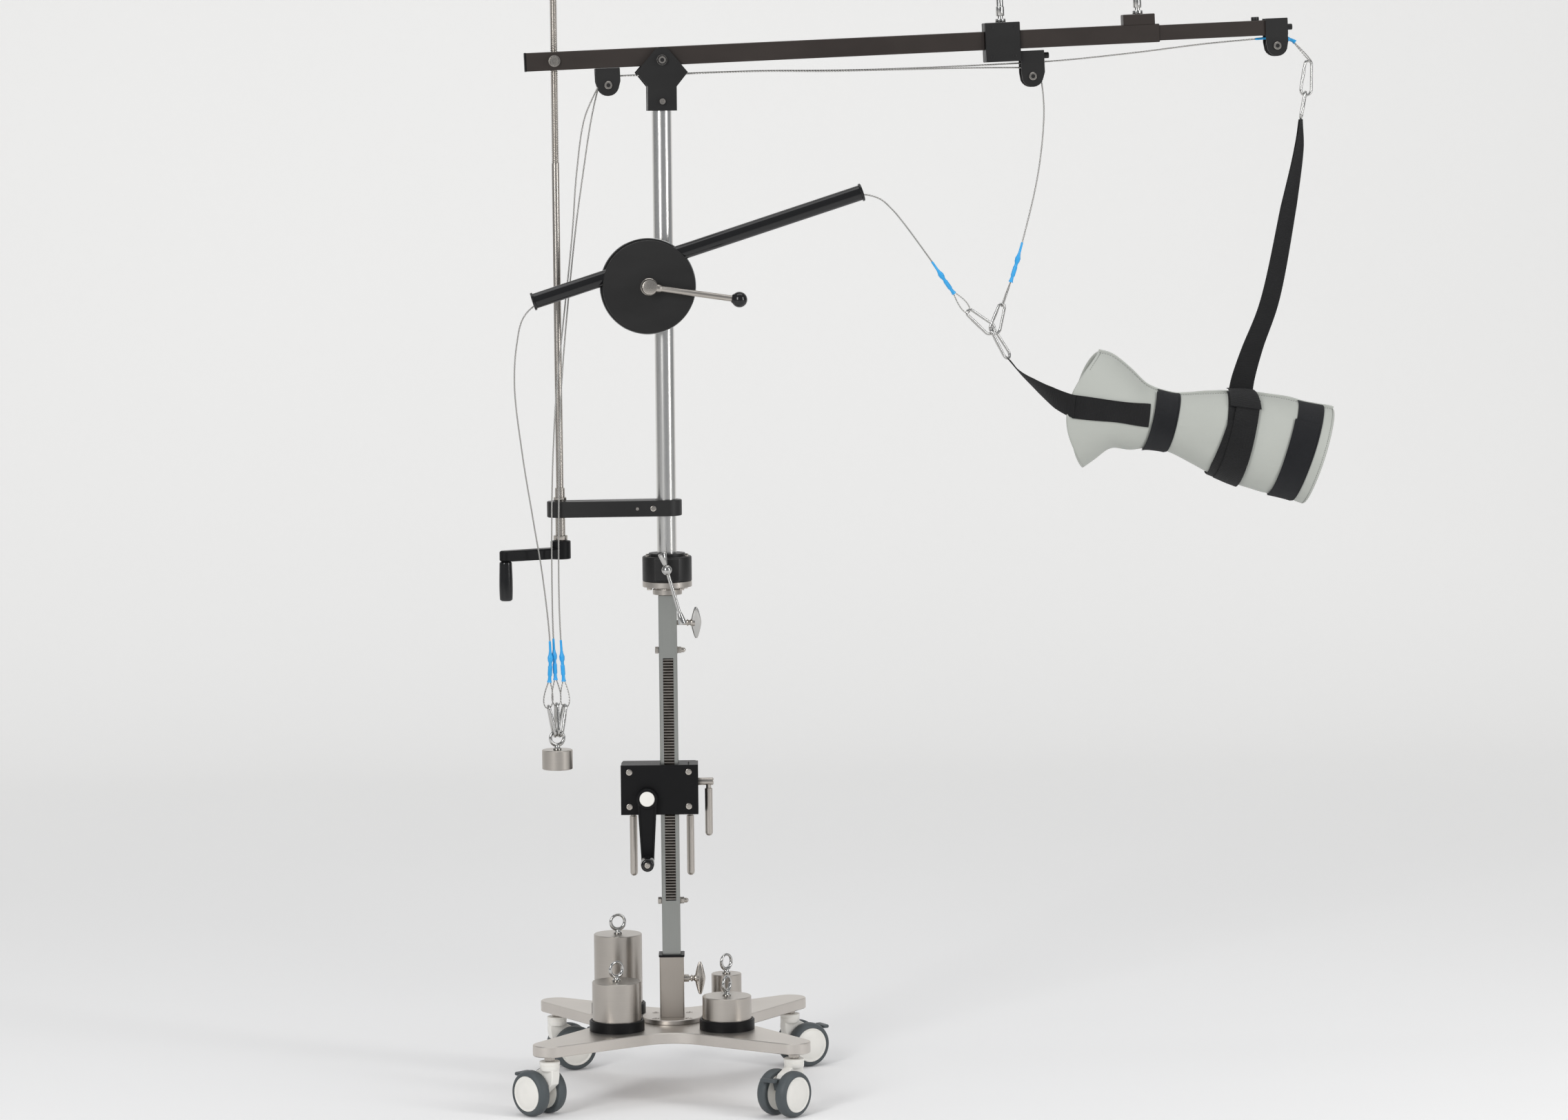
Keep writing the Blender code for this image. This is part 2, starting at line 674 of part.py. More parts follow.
def column_lock_lever(frame):
    half = COLUMN_W / 2
    start = (BOX_REAR_RIGHT + GAP, 0.008, LOCK_Z)
    screw = BOX_REAR_RIGHT - half - 0.001
    head = turned([(0, -screw), (0.0032, -screw), (0.0040, 0.001 - screw), (0.0040, 0.0), (0.0062, 0.0),
                   (0.0062, 0.0270), (0.0045, 0.0280), (0, 0.0280)], start, (1, 0, 0), 10)
    top = (LOCK_X, 0.008, LOCK_Z)
    bar = turned([(0, 0), (0.0042, 0), (0.0042, 0.0110), (0.0062, 0.0118), (0.0062, 0.0865), (0.0045, 0.0895),
                  (0, 0.0905)], top, (0, 0, -1), 10)
    join(head, bar)
    return finish(head, "column_lock_lever", steel(), start, frame)


def head_flange(frame):
    profile = [(0, 0.640), (0.0115, 0.640), (0.0115, COLUMN_TOP + GAP), (0.024, COLUMN_TOP + GAP),
               (0.024, 0.734), (0.020, 0.734), (0.020, 0.738), (HUB_R, 0.738), (HUB_R, 0.7468),
               (HUB_R - 0.0007, 0.7475), (0, 0.7475)]
    flange = turned(profile, sides=20)
    return finish(flange, "head_flange", steel(), (0, 0, 0), frame)


def head_hub(frame):
    profile = [(0, HUB_BOTTOM), (HUB_R, HUB_BOTTOM), (HUB_R, HUB_TOP - 0.002), (HUB_R - 0.002, HUB_TOP),
               (0.030, HUB_TOP), (0.030, HUB_TOP + 0.0045), (0, HUB_TOP + 0.0045)]
    hub = turned(profile, sides=20)
    boss = box(-0.020, 0.020, -0.048, 0, HUB_BOTTOM + 0.003, HUB_TOP - 0.002, 0.0015)
    join(hub, boss)
    cut(hub, rod(POLE_R + RUNNING, (0, 0, POLE_BOTTOM - GAP), (0, 0, 0.9), 18))
    cut(hub, rod(0.005 + RUNNING, (0, -0.06, CLAMP_Z), (0, 0, CLAMP_Z), 12))
    return finish(hub, "head_hub", anodised(), (0, 0, 0), frame)


def tommy_direction():
    return Vector((math.sin(TOMMY_TILT), 0, -math.cos(TOMMY_TILT)))


def clamp_screw(frame):
    """The screw that locks the swivel, with a ball that holds its sliding bar."""
    centre = Vector((0, CLAMP_BALL_Y, CLAMP_Z))
    r = CLAMP_BALL_R
    ball = [(r * math.sin(math.radians(a)), -r * math.cos(math.radians(a))) for a in range(0, 181, 30)]
    screw = turned([(0, ball[0][1])] + ball[1:-1] + [(0, ball[-1][1])], centre, (0, -1, 0), 10)
    shaft = turned([(0, 0), (0.0042, 0), (0.005, 0.001), (0.005, 0.0320), (0.0065, 0.0325), (0.0065, 0.0375),
                    (0.0050, 0.0385), (0.0050, 0.0430), (0, 0.0430)], (0, -POLE_R - 0.0008, CLAMP_Z),
                   (0, -1, 0), 10)
    join(screw, shaft)
    along = tommy_direction() * 0.02
    cut(screw, rod(TOMMY_R + RUNNING, centre - along, centre + along, 12))
    return finish(screw, "clamp_screw", chrome(), centre, frame)


def tommy_bar(frame):
    centre = Vector((0, CLAMP_BALL_Y, CLAMP_Z))
    top = -0.0280
    end = 0.092
    profile = [(0, top), (0.0058, top), (0.0070, top + 0.0015), (0.0040, top + 0.019),
               (TOMMY_R, top + 0.0191), (TOMMY_R, end - 0.0191), (0.0040, end - 0.019),
               (0.0070, end - 0.0015), (0.0058, end), (0, end)]
    bar = turned(profile, centre, tommy_direction(), 10)
    return finish(bar, "tommy_bar", chrome(), centre, frame)


def mast_pole():
    profile = [(0, POLE_BOTTOM), (POLE_R - 0.001, POLE_BOTTOM), (POLE_R, POLE_BOTTOM + 0.001),
               (POLE_R, POLE_TOP - 0.001), (POLE_R - 0.001, POLE_TOP), (0, POLE_TOP)]
    return finish(turned(profile, sides=18), "mast_pole", steel())


def clamp_arm():
    """The arm that carries the tilting screw, clamped round the pole by a slit at its right end."""
    outline = arc(0, 0, 0.0255, -80, 80, 8) + arc(SCREW_X, 0, 0.0215, 100, 260, 8)
    arm = extruded([(x, y, 0) for x, y in outline], (0, 0, ARM_BOTTOM), (0, 0, ARM_TOP - ARM_BOTTOM))
    cut(arm, rod(POLE_R + GAP, (0, 0, ARM_BOTTOM - 0.01), (0, 0, ARM_TOP + 0.01), 18))
    cut(arm, rod(0.0083, (SCREW_X, 0, ARM_BOTTOM - 0.01), (SCREW_X, 0, ARM_TOP + 0.01), 12))
    cut(arm, box(-0.058, -0.010, -0.0010, 0.0010, ARM_BOTTOM - 0.01, ARM_TOP + 0.01))
    return finish(arm, "clamp_arm", anodised())


def tilt_screw():
    """The long screw that tilts the beam, with its bush and collars in the clamp arm."""
    hub_top = 0.8162
    profile = [(0, 0.792), (SCREW_R, 0.792), (SCREW_R, hub_top + GAP), (0.0115, hub_top + GAP),
               (0.0115, ARM_BOTTOM - 0.030), (0.008, ARM_BOTTOM - 0.030), (0.008, ARM_TOP + 0.001),
               (0.0105, ARM_TOP + 0.001), (0.0105, ARM_TOP + 0.006), (0.008, ARM_TOP + 0.006),
               (0.008, 0.903), (SCREW_R, 0.903), (SCREW_R, SCREW_TOP), (0, SCREW_TOP)]
    return finish(turned(profile, (SCREW_X, 0, 0), sides=12), "tilt_screw", steel(), (SCREW_X, 0, 0))


def tilt_crank():
    base = 0.7865
    hub = turned([(0, base), (0.0155, base), (0.0165, base + 0.001), (0.0165, 0.8152), (0.0155, 0.8162),
                  (0, 0.8162)], (SCREW_X, 0, 0), sides=16)
    turn = TILT_CRANK_ANGLE + math.radians(90)
    points = []
    for x, z in crank_outline(CRANK_REACH, 0.0132, 0.0098):
        points.append((SCREW_X + x * math.cos(turn) - z * math.sin(turn),
                       x * math.sin(turn) + z * math.cos(turn), 0))
    arm = extruded(points, (0, 0, base + 0.001), (0, 0, 0.018))
    join(hub, arm)
    end = tilt_grip_place()
    cut(hub, rod(SCREW_R + GAP, (SCREW_X, 0, 0.7915), (SCREW_X, 0, 0.83), 12))
    cut(hub, rod(0.0041, (end.x, end.y, 0.77), (end.x, end.y, base + 0.0135), 10))
    return finish(hub, "tilt_crank", black_plastic(), (SCREW_X, 0, 0))


def tilt_grip_place():
    return Vector((SCREW_X + CRANK_REACH * math.cos(TILT_CRANK_ANGLE),
                   CRANK_REACH * math.sin(TILT_CRANK_ANGLE), 0.7872))


def tilt_crank_grip():
    place = tilt_grip_place()
    grip = turned(grip_profile(0.064), place, (0, 0, -1), 12)
    return finish(grip, "tilt_crank_grip", black_plastic(), place)


def head_bracket():
    """Two cheeks on a block: the pole enters the block and the beam's pivot bolt crosses the cheeks."""
    block = box(-0.0230, 0.0230, -0.0215, 0.0215, 1.5155, 1.560)
    outline = [(-0.0235, 1.515), (0.0235, 1.515), (0.0235, 1.554), (0.0420, 1.577)]
    outline += arc(0.0, 1.601, 0.017, 52, 128, 5)
    outline += [(-0.0420, 1.577), (-0.0235, 1.554)]
    for start in (-0.0240, 0.0200):
        join(block, extruded(in_xz(outline), (0, start, 0), (0, 0.0040, 0)))
    bolt = turned([(0, -0.0300), (0.0075, -0.0300), (0.0080, -0.0295), (0.0080, -0.0235), (PIVOT_R, -0.0235),
                   (PIVOT_R, 0.0235), (0.0080, 0.0235), (0.0080, 0.0290), (0, 0.0290)], (0, 0, PIVOT_Z),
                  (0, 1, 0), 10)
    join(block, bolt)
    cut(block, rod(POLE_R + GAP, (0, 0, 1.50), (0, 0, POLE_TOP + GAP), 18))
    return finish(block, "head_bracket", anodised())


def disc_mount():
    """A clamp round the pole that reaches forward to the rear disc of the guide tube's joint."""
    low = CLAMP_DISC_Z - 0.017
    high = CLAMP_DISC_Z + 0.017
    ring = turned([(POLE_R + GAP, low), (0.0255, low), (0.0265, low + 0.001), (0.0265, high - 0.001),
                   (0.0255, high), (POLE_R + GAP, high)], sides=18)
    back = DISC_REAR_Y + 0.002
    neck = box(CLAMP_DISC_X - 0.013, -0.006, back - 0.0037, -0.0185, low + 0.001, high - 0.001, 0.001)
    centre = (CLAMP_DISC_X, 0, CLAMP_DISC_Z)
    rim = DISC_R + 0.0025
    rear = DISC_REAR_Y - DISC_REAR_T
    disc = turned([(0, rear), (rim - 0.0008, rear), (rim, rear + 0.0008), (rim, DISC_REAR_Y - 0.0008),
                   (rim - 0.0008, DISC_REAR_Y), (0, DISC_REAR_Y)], centre, (0, 1, 0), 20)
    front = DISC_FRONT_Y + DISC_FRONT_T + GAP
    spacer = rod(0.0222, (CLAMP_DISC_X, front, CLAMP_DISC_Z), (CLAMP_DISC_X, rear + 0.0012, CLAMP_DISC_Z), 16)
    pin = rod(0.005, (CLAMP_DISC_X, DISC_FRONT_Y - 0.012, CLAMP_DISC_Z),
              (CLAMP_DISC_X, front + 0.001, CLAMP_DISC_Z), 10)
    join(ring, neck, disc, spacer, pin)
    cut(ring, rod(POLE_R + GAP, (0, 0, low - 0.01), (0, 0, high + 0.01), 18))
    return finish(ring, "disc_mount", anodised())


def clamp_disc():
    """The front disc, its boss and the ball lever that tightens the joint."""
    centre = (CLAMP_DISC_X, 0, CLAMP_DISC_Z)
    back = DISC_FRONT_Y + DISC_FRONT_T
    disc = turned([(0, back), (DISC_R - 0.001, back), (DISC_R, back - 0.001), (DISC_R, DISC_FRONT_Y + 0.001),
                   (DISC_R - 0.001, DISC_FRONT_Y), (0.014, DISC_FRONT_Y), (0.014, DISC_FRONT_Y - 0.019),
                   (0.013, DISC_FRONT_Y - 0.020), (0, DISC_FRONT_Y - 0.020)][::-1], centre, (0, 1, 0), 20)
    ball = Vector((0.116, DISC_FRONT_Y - 0.013, 1.210))
    start = Vector((CLAMP_DISC_X, DISC_FRONT_Y - 0.013, CLAMP_DISC_Z))
    lever = rod(0.005, start, ball, 12)
    r = 0.01275
    knob = [(r * math.sin(math.radians(a)), -r * math.cos(math.radians(a))) for a in range(0, 181, 30)]
    knob[0] = (0, -r)
    knob[-1] = (0, r)
    join(disc, lever, turned(knob, ball, ball - start, 16))
    cut(disc, rod(0.005 + RUNNING, (CLAMP_DISC_X, DISC_FRONT_Y - 0.0123, CLAMP_DISC_Z),
                  (CLAMP_DISC_X, 0, CLAMP_DISC_Z), 10))
    return finish(disc, "clamp_disc", black_plastic(), (CLAMP_DISC_X, DISC_FRONT_Y, CLAMP_DISC_Z))


def guide_tube():
    """The hollow tube that leads one cord across the mast, with a flanged ring at each end."""
    start = Vector(TUBE_LEFT)
    along = Vector(TUBE_RIGHT) - start
    length = along.length
    profile = [(TUBE_BORE_R, 0), (0.0144, 0), (0.0148, 0.0035), (TUBE_R, 0.0040), (TUBE_R, length - 0.0040),
               (0.0148, length - 0.0035), (0.0144, length), (TUBE_BORE_R, length)]
    tube = turned(profile, start, along, 20)
    return finish(tube, "guide_tube", anodised())


def beam_tube(frame):
    low = BEAM_AXIS_W - BEAM_W / 2
    high = BEAM_AXIS_W + BEAM_W / 2
    half = BEAM_W / 2
    inner = half - BEAM_WALL
    tube = box(BEAM_LEFT, BEAM_RIGHT, -half, half, low, high, 0.0012)
    for side in (-1, 1):
        start = side * (half - 0.001)
        join(tube, rod(0.0100, (0, start, 0), (0, side * 0.0195, 0), 12))
    cut(tube, box(BEAM_LEFT + 0.004, BEAM_RIGHT + 0.01, -inner, inner, low + BEAM_WALL, high - BEAM_WALL))
    cut(tube, rod(PIVOT_R + RUNNING, (0, -BEAM_W, 0), (0, BEAM_W, 0), 12))
    slot = 0.0160
    cut(tube, box(NUT_U - slot, NUT_U + slot, -0.0078, 0.0078, low - 0.01, high + 0.01))
    slot = 0.0085
    cut(tube, box(NUT_U - slot, NUT_U + slot, -BEAM_W, BEAM_W, BEAM_AXIS_W - 0.0048, BEAM_AXIS_W + 0.0048))
    return finish(tube, "beam_tube", anodised(), (0, 0, 0), frame)


def nut_centre():
    """The trunnion's place in world axes."""
    along = Vector((math.cos(BEAM_SLOPE), 0, math.sin(BEAM_SLOPE)))
    across = Vector((-math.sin(BEAM_SLOPE), 0, math.cos(BEAM_SLOPE)))
    return Vector((0, 0, PIVOT_Z)) + along * NUT_U + across * BEAM_AXIS_W


def trunnion_nut():
    """The nut on the tilting screw, with a bolt through each side of the beam."""
    centre = nut_centre()
    centre.x = SCREW_X
    half = BEAM_W / 2 - BEAM_WALL - 0.0010
    start = half - 0.0012
    washer = BEAM_W / 2 + GAP - start
    head = washer + 0.0016
    nut = box(SCREW_X - 0.0090, SCREW_X + 0.0090, -half, half, centre.z - 0.008, centre.z + 0.008)
    for side in (-1, 1):
        profile = [(0, 0), (0.004, 0), (0.004, washer), (0.0095, washer), (0.0095, head), (0.0075, head),
                   (0.0075, head + 0.0066), (0, head + 0.0066)]
        join(nut, turned(profile, (SCREW_X, side * start, centre.z), (0, side, 0), 10))
    cut(nut, rod(SCREW_R + GAP, (SCREW_X, 0, centre.z - 0.03), (SCREW_X, 0, centre.z + 0.03), 12))
    return finish(nut, "trunnion_nut", steel(), centre)


def joint_box(frame):
    """The layered block that joins the two beam tubes, with a spigot into the main one."""
    low = -0.0288
    high = 0.0351
    plates = box(JOINT_LEFT + 0.0007, JOINT_RIGHT - 0.0007, -0.0205, 0.0205, low + 0.0007, high - 0.0007)
    for y0, y1 in ((-0.0225, -0.0125), (-0.0115, 0.0115), (0.0125, 0.0225)):
        join(plates, box(JOINT_LEFT, JOINT_RIGHT, y0, y1, low, high, 0.0010))
    inner = BEAM_W / 2 - BEAM_WALL - GAP
    join(plates, box(JOINT_LEFT - 0.030, JOINT_LEFT + 0.002, -inner, inner, BEAM_AXIS_W - inner,
                     BEAM_AXIS_W + inner, 0.0008))
    middle = (JOINT_LEFT + JOINT_RIGHT) / 2
    cut(plates, rod(0.0043, (middle, 0, BEAM_AXIS_W + 0.016), (middle, 0, high + 0.01), 10))
    return finish(plates, "joint_box", anodised(), (0, 0, 0), frame)


def outer_beam(frame):
    low = BEAM_AXIS_W - BEAM_W / 2
    high = BEAM_AXIS_W + BEAM_W / 2
    half = BEAM_W / 2
    inner = INNER_W / 2 + RUNNING
    tube = box(OUTER_LEFT, OUTER_RIGHT, -half, half, low, high, 0.0010)
    block = 0.0260
    join(tube, box(TUBE_LOCK_U - block, TUBE_LOCK_U + block, -half, half, high - 0.001, high + 0.017, 0.0010))
    cut(tube, box(OUTER_LEFT + 0.006, OUTER_RIGHT + 0.01, -inner, inner, BEAM_AXIS_W - inner,
                  BEAM_AXIS_W + inner))
    cut(tube, rod(0.0043, (TUBE_LOCK_U, 0, high - 0.006), (TUBE_LOCK_U, 0, high + 0.03), 10))
    return finish(tube, "outer_beam", anodised(), (0, 0, 0), frame)


def inner_beam(frame):
    half = INNER_W / 2
    bore = half - 0.0022
    tube = box(INNER_LEFT, INNER_RIGHT, -half, half, BEAM_AXIS_W - half, BEAM_AXIS_W + half, 0.0008)
    cut(tube, box(INNER_LEFT - 0.01, INNER_RIGHT - 0.012, -bore, bore,
                  BEAM_AXIS_W - bore, BEAM_AXIS_W + bore))
    return finish(tube, "inner_beam", anodised(), (0, 0, 0), frame)


def cheek_outline(u0, u1, top, pin_u, pin_w, radius=0.0175):
    """A straight-sided cheek that ends in a round foot about its sheave's pin."""
    points = [(u0, top), (u0, pin_w + 0.006)]
    points += arc(pin_u, pin_w, radius, 200, 340, 8)
    points += [(u1, pin_w + 0.006), (u1, top)]
    return points


def sheave_pin(u, w, reach):
    return turned([(0, -reach), (0.0055, -reach), (0.0060, -reach + 0.0006), (0.0060, -reach + 0.003),
                   (0.0030, -reach + 0.003), (0.0030, reach - 0.003), (0.0060, reach - 0.003),
                   (0.0060, reach - 0.0006), (0.0055, reach), (0, reach)], (u, 0, w), (0, 1, 0), 10)


def left_bracket(frame):
    u, w = LEFT_SHEAVE
    top = BEAM_AXIS_W - BEAM_W / 2 - GAP
    body = box(u - 0.0194, u + 0.0194, -0.0140, 0.0140, top - 0.0055, top)
    outline = cheek_outline(u - 0.0200, u + 0.0200, top - 0.0003, u, w)
    for start in (-0.0150, 0.0115):
        join(body, extruded(in_xz(outline), (0, start, 0), (0, 0.0035, 0)))
    join(body, sheave_pin(u, w, 0.0175))
    return finish(body, "left_bracket", anodised(), (0, 0, 0), frame)


def mid_bracket(frame):
    u, w = MID_SHEAVE
    top = -0.0127
    left = JOINT_RIGHT + GAP
    right = u + 0.0202
    body = box(left + 0.0006, right - 0.0006, -0.0145, 0.0145, -0.0288, top)
    outline = cheek_outline(left, right, top - 0.0005, u, w)
    for start in (-0.0158, 0.0128):
        join(body, extruded(in_xz(outline), (0, start, 0), (0, 0.0030, 0)))
    join(body, sheave_pin(u, w, 0.0180))
    join(body, rod(0.0050, (right - 0.002, 0, -0.0215), (right + 0.0095, 0, -0.0215), 10, 0.0006))
    return finish(body, "mid_bracket", anodised(), (0, 0, 0), frame)


def end_bracket(frame):
    u, w = END_SHEAVE
    right = INNER_RIGHT + GAP
    body = box(right, right + 0.0036, -0.0145, 0.0145, -0.006, 0.0207)
    outline = cheek_outline(u - 0.0180, right + 0.0030, 0.0213, u, w, 0.0170)
    for start in (-0.0158, 0.0128):
        join(body, extruded(in_xz(outline), (0, start, 0), (0, 0.0030, 0)))
    join(body, sheave_pin(u, w, 0.0180))
    join(body, rod(0.0050, (right + 0.002, 0, BEAM_AXIS_W), (right + 0.0130, 0, BEAM_AXIS_W), 10, 0.0006))
    return finish(body, "end_bracket", anodised(), (0, 0, 0), frame)


def sheave(name, place, grooves, hub, frame):
    """A pulley wheel with one V groove for each cord."""
    u, w = place
    bottom = GROOVE_R - CORD_R - 0.0006
    width = 0.0040
    profile = [(0.0034, -hub), (0.0065, -hub)]
    first = grooves[0] - width
    last = grooves[-1] + width
    profile += [(0.0065, first), (SHEAVE_R - 0.0005, first)]
    for groove in grooves:
        profile += [(SHEAVE_R, groove - 0.0030), (bottom, groove - 0.0011), (bottom, groove + 0.0011),
                    (SHEAVE_R, groove + 0.0030)]
    profile += [(SHEAVE_R - 0.0005, last), (0.0065, last), (0.0065, hub), (0.0034, hub)]
    wheel = turned(profile, (u, 0, w), (0, 1, 0), 12)
    return finish(wheel, name, black_plastic(), (u, 0, w), frame)


def sheaves(frame):
    sheave("sheave_left", LEFT_SHEAVE, (-GROOVE_Y, GROOVE_Y), 0.0111, frame)
    sheave("sheave_mid", MID_SHEAVE, (-GROOVE_Y,), 0.0124, frame)
    sheave("sheave_end", END_SHEAVE, (0.0,), 0.0124, frame)


def locking_handles(frame):
    high = BEAM_AXIS_W + BEAM_W / 2
    places = {"lock_handle_joint": ((JOINT_LEFT + JOINT_RIGHT) / 2, 0.0351, 0.012),
              "lock_handle_tube": (TUBE_LOCK_U, high + 0.017, 0.0195)}
    for name, (u, face, screw) in places.items():
        tip = 0.0005 - screw
        profile = [(0, tip), (0.004, tip), (0.004, GAP), (0.0085, GAP), (0.0085, 0.006), (0.004, 0.006),
                   (0.004, 0.0105), (0.0068, 0.0105), (0.0068, 0.0260), (0.0056, 0.0265), (0.0056, 0.0850),
                   (0.0045, 0.0880), (0, 0.0890)]
        handle = turned(profile, (u, 0, face), (0, 0, 1), 10)
        finish(handle, name, chrome(), (u, 0, face), frame)


def carabiner(top, bottom, normal, width=0.022, wire=SNAP_WIRE_R):
    """A snap ring of round wire: two long sides and two round ends, between two loop points."""
    top = Vector(top)
    bottom = Vector(bottom)
    along = (top - bottom).normalized()
    across = Vector(normal).normalized().cross(along)
    half = width / 2 - wire
    straight = (top - bottom).length / 2 - half
    middle = (top + bottom) / 2
    points = []
    for end, sign in ((1, 1), (-1, -1)):
        for i in range(5):
            angle = math.pi * i / 4
            points.append(middle + along * (end * straight + sign * half * math.sin(angle))
                          + across * (sign * half * math.cos(angle)))
    return wire_loop(points, Vector(normal).normalized(), wire)


def wire_loop(points, normal, wire, section=5):
    bm = bmesh.new()
    rings = []
    count = len(points)
    for i, point in enumerate(points):
        tangent = (points[(i + 1) % count] - points[i - 1]).normalized()
        side = tangent.cross(normal).normalized()
        ring = []
        for j in range(section):
            angle = 2 * math.pi * j / section
            away = side * math.cos(angle) + normal * math.sin(angle)
            ring.append(bm.verts.new(point + away * wire))
        rings.append(ring)
    for i in range(count):
        first = rings[i]
        second = rings[(i + 1) % count]
        for j in range(section):
            k = (j + 1) % section
            bm.faces.new((first[j], first[k], second[k], second[j]))
    return mesh_object("wire", bm)


def hanging_weight():
    return weight("hanging_weight", HANG.x, HANG.y, HANG.z, 0.025, HANG_H, None, HANG_EYE_R, 0.3)


def left_snap_top(k):
    """Where each of the three cords meets its snap ring on the weight's eye."""
    side = k - 1
    return EYE_HOOK + Vector((0.0135 * side, 0.0050 * side, 0.0520 - 0.003 * abs(side)))


def left_snap_rings():
    """Three snap rings that share the weight's eye, where they bear on one another."""
    rings = []
    for k in range(3):
        side = k - 1
        foot = EYE_HOOK + Vector((0.0038 * side, 0.0012 * side, -0.0014 * abs(side)))
        rings.append(carabiner(left_snap_top(k), foot, (0.955, 0.295 + 0.12 * side, -0.18 * side)))
    first = join(rings[0], rings[1], rings[2])
    return finish(first, "snap_rings_left", chrome(), EYE_HOOK)


def right_snap_rings():
    first = carabiner(A_END, V_POINT, (0.15, -1, 0.1))
    second = carabiner(B_END, V_POINT + Vector((0.0006, 0.0013, -0.0021)), (0.2, -1, -0.25))
    top = V_POINT + Vector((-0.0025, -0.0006, 0.0050))
    third = carabiner(top, (0.5660, -0.004, 1.1050), (0.75, -0.62, 0.3))
    join(first, second, third)
    return finish(first, "snap_rings_right", chrome(), V_POINT)


def end_snap_ring():
    first = carabiner(C_END, (1.0610, 0.0, 1.5300), (0.1, -1, 0))
    second = carabiner((1.0610, 0.0, 1.5350), (1.0530, 0.0, 1.4930), (1, -0.3, 0.2), 0.018)
    join(first, second)
    return finish(first, "snap_ring_end", chrome(), C_END)


def smooth_curve(points, parts=24):
    """A dense Catmull-Rom curve through the route's own points."""
    points = [Vector(p) for p in points]
    ends = [2 * points[0] - points[1]] + points + [2 * points[-1] - points[-2]]
    dense = []
    for i in range(1, len(ends) - 2):
        a, b, c, d = ends[i - 1:i + 3]
        for k in range(parts):
            t = k / parts
            dense.append(0.5 * (2 * b + (c - a) * t + (2 * a - 5 * b + 4 * c - d) * t ** 2
                                + (3 * b - a - 3 * c + d) * t ** 3))
    return dense + [points[-1]]


def smooth_route(points, longest, turn=math.radians(30)):
    """Points read from the smooth curve, closer together where it bends."""
    dense = smooth_curve(points)
    route = [dense[0]]
    travelled = 0.0
    bent = 0.0
    for before, here, after in zip(dense, dense[1:], dense[2:]):
        travelled += (here - before).length
        bent += (here - before).angle(after - here, 0.0)
        if travelled > longest or bent > turn:
            route.append(here)
            travelled = 0.0
            bent = 0.0
    route.append(dense[-1])
    return route


def cord(name, points, look, radius=CORD_R, longest=0.080):
    curve = bpy.data.curves.new(name, "CURVE")
    curve.dimensions = "3D"
    curve.bevel_depth = radius
    curve.bevel_resolution = 2
    curve.use_fill_caps = True
    spline = curve.splines.new("POLY")
    route = smooth_route(points, longest)
    spline.points.add(len(route) - 1)
    for target, point in zip(spline.points, route):
        target.co = (*point, 1.0)
    made = bpy.data.objects.new(name, curve)
    bpy.context.scene.collection.objects.link(made)
    made.data.materials.append(look)
    return made


def on_beam(u, y, w):
    """A point of the beam's own axes in world axes."""
    return Vector((u * math.cos(BEAM_SLOPE) - w * math.sin(BEAM_SLOPE), y,
                   PIVOT_Z + u * math.sin(BEAM_SLOPE) + w * math.cos(BEAM_SLOPE)))


def over_sheave(place, y, start_deg, end_deg, steps=4):
    u, w = place
    return [on_beam(a, y, b) for a, b in arc(u, w, GROOVE_R, start_deg, end_deg, steps)]


def cord_through_tube():
    """From the weight, through the guide tube, to the arm cuff's left snap ring."""
    left = Vector(TUBE_LEFT)
    right = Vector(TUBE_RIGHT)
    along = (right - left).normalized()
    drop = Vector((0, 0, -0.0055))
    start = left_snap_top(0) + Vector((-0.0008, 0, SNAP_WIRE_R + GAP))
    points = [start, (-0.1955, -0.050, 0.640), (-0.2060, -0.052, 0.760), (-0.2205, -0.056, 0.855),
              (-0.2370, -0.060, 0.965), (-0.2478, -0.063, 1.072), (-0.2435, -0.065, 1.140),
              (-0.2320, -0.066, 1.184), left + along * 0.010 + drop]
    for k in range(1, 6):
        points.append(left.lerp(right, k / 6) + drop * (1 if k < 5 else 0.4))
    points += [right - along * 0.010 + drop * 0.2, (0.3470, -0.064, 1.3700), (0.3680, -0.060, 1.3530),
               (0.3870, -0.055, 1.3310), (0.4320, -0.040, 1.2710), (0.4740, -0.020, 1.2130),
               A_END + Vector((-0.0015, 0, 0.0030))]
    return cord("cord_a", points, steel())


def cord_over_mid():
    start = left_snap_top(1) + Vector((0, 0, SNAP_WIRE_R + GAP))
    points = [start, (-0.1905, -0.0405, 0.700), (-0.1885, -0.032, 0.888), (-0.1830, -0.026, 1.001),
              (-0.1775, -0.022, 1.069), (-0.1490, -0.012, 1.315), (-0.1400, -0.008, 1.416),
              (-0.1255, -0.005, 1.505)]
    points += over_sheave(LEFT_SHEAVE, -GROOVE_Y, 168, 92)
    points += [on_beam(0.0, -GROOVE_Y, -0.0238), on_beam(0.159, -GROOVE_Y, -0.0256),
               on_beam(0.272, -GROOVE_Y, -0.0308), on_beam(0.385, -GROOVE_Y, -0.0336),
               on_beam(0.498, -GROOVE_Y, -0.0362), on_beam(0.560, -GROOVE_Y, -0.0385)]
    points += over_sheave(MID_SHEAVE, -GROOVE_Y, 96, 8)
    points += [(0.6265, -0.004, 1.5100), (0.6165, -0.004, 1.4077), (0.5890, -0.003, 1.2918),
               (0.5705, -0.002, 1.2300), B_END + Vector((0.0012, 0, 0.0022))]
    return cord("cord_b", points, steel())


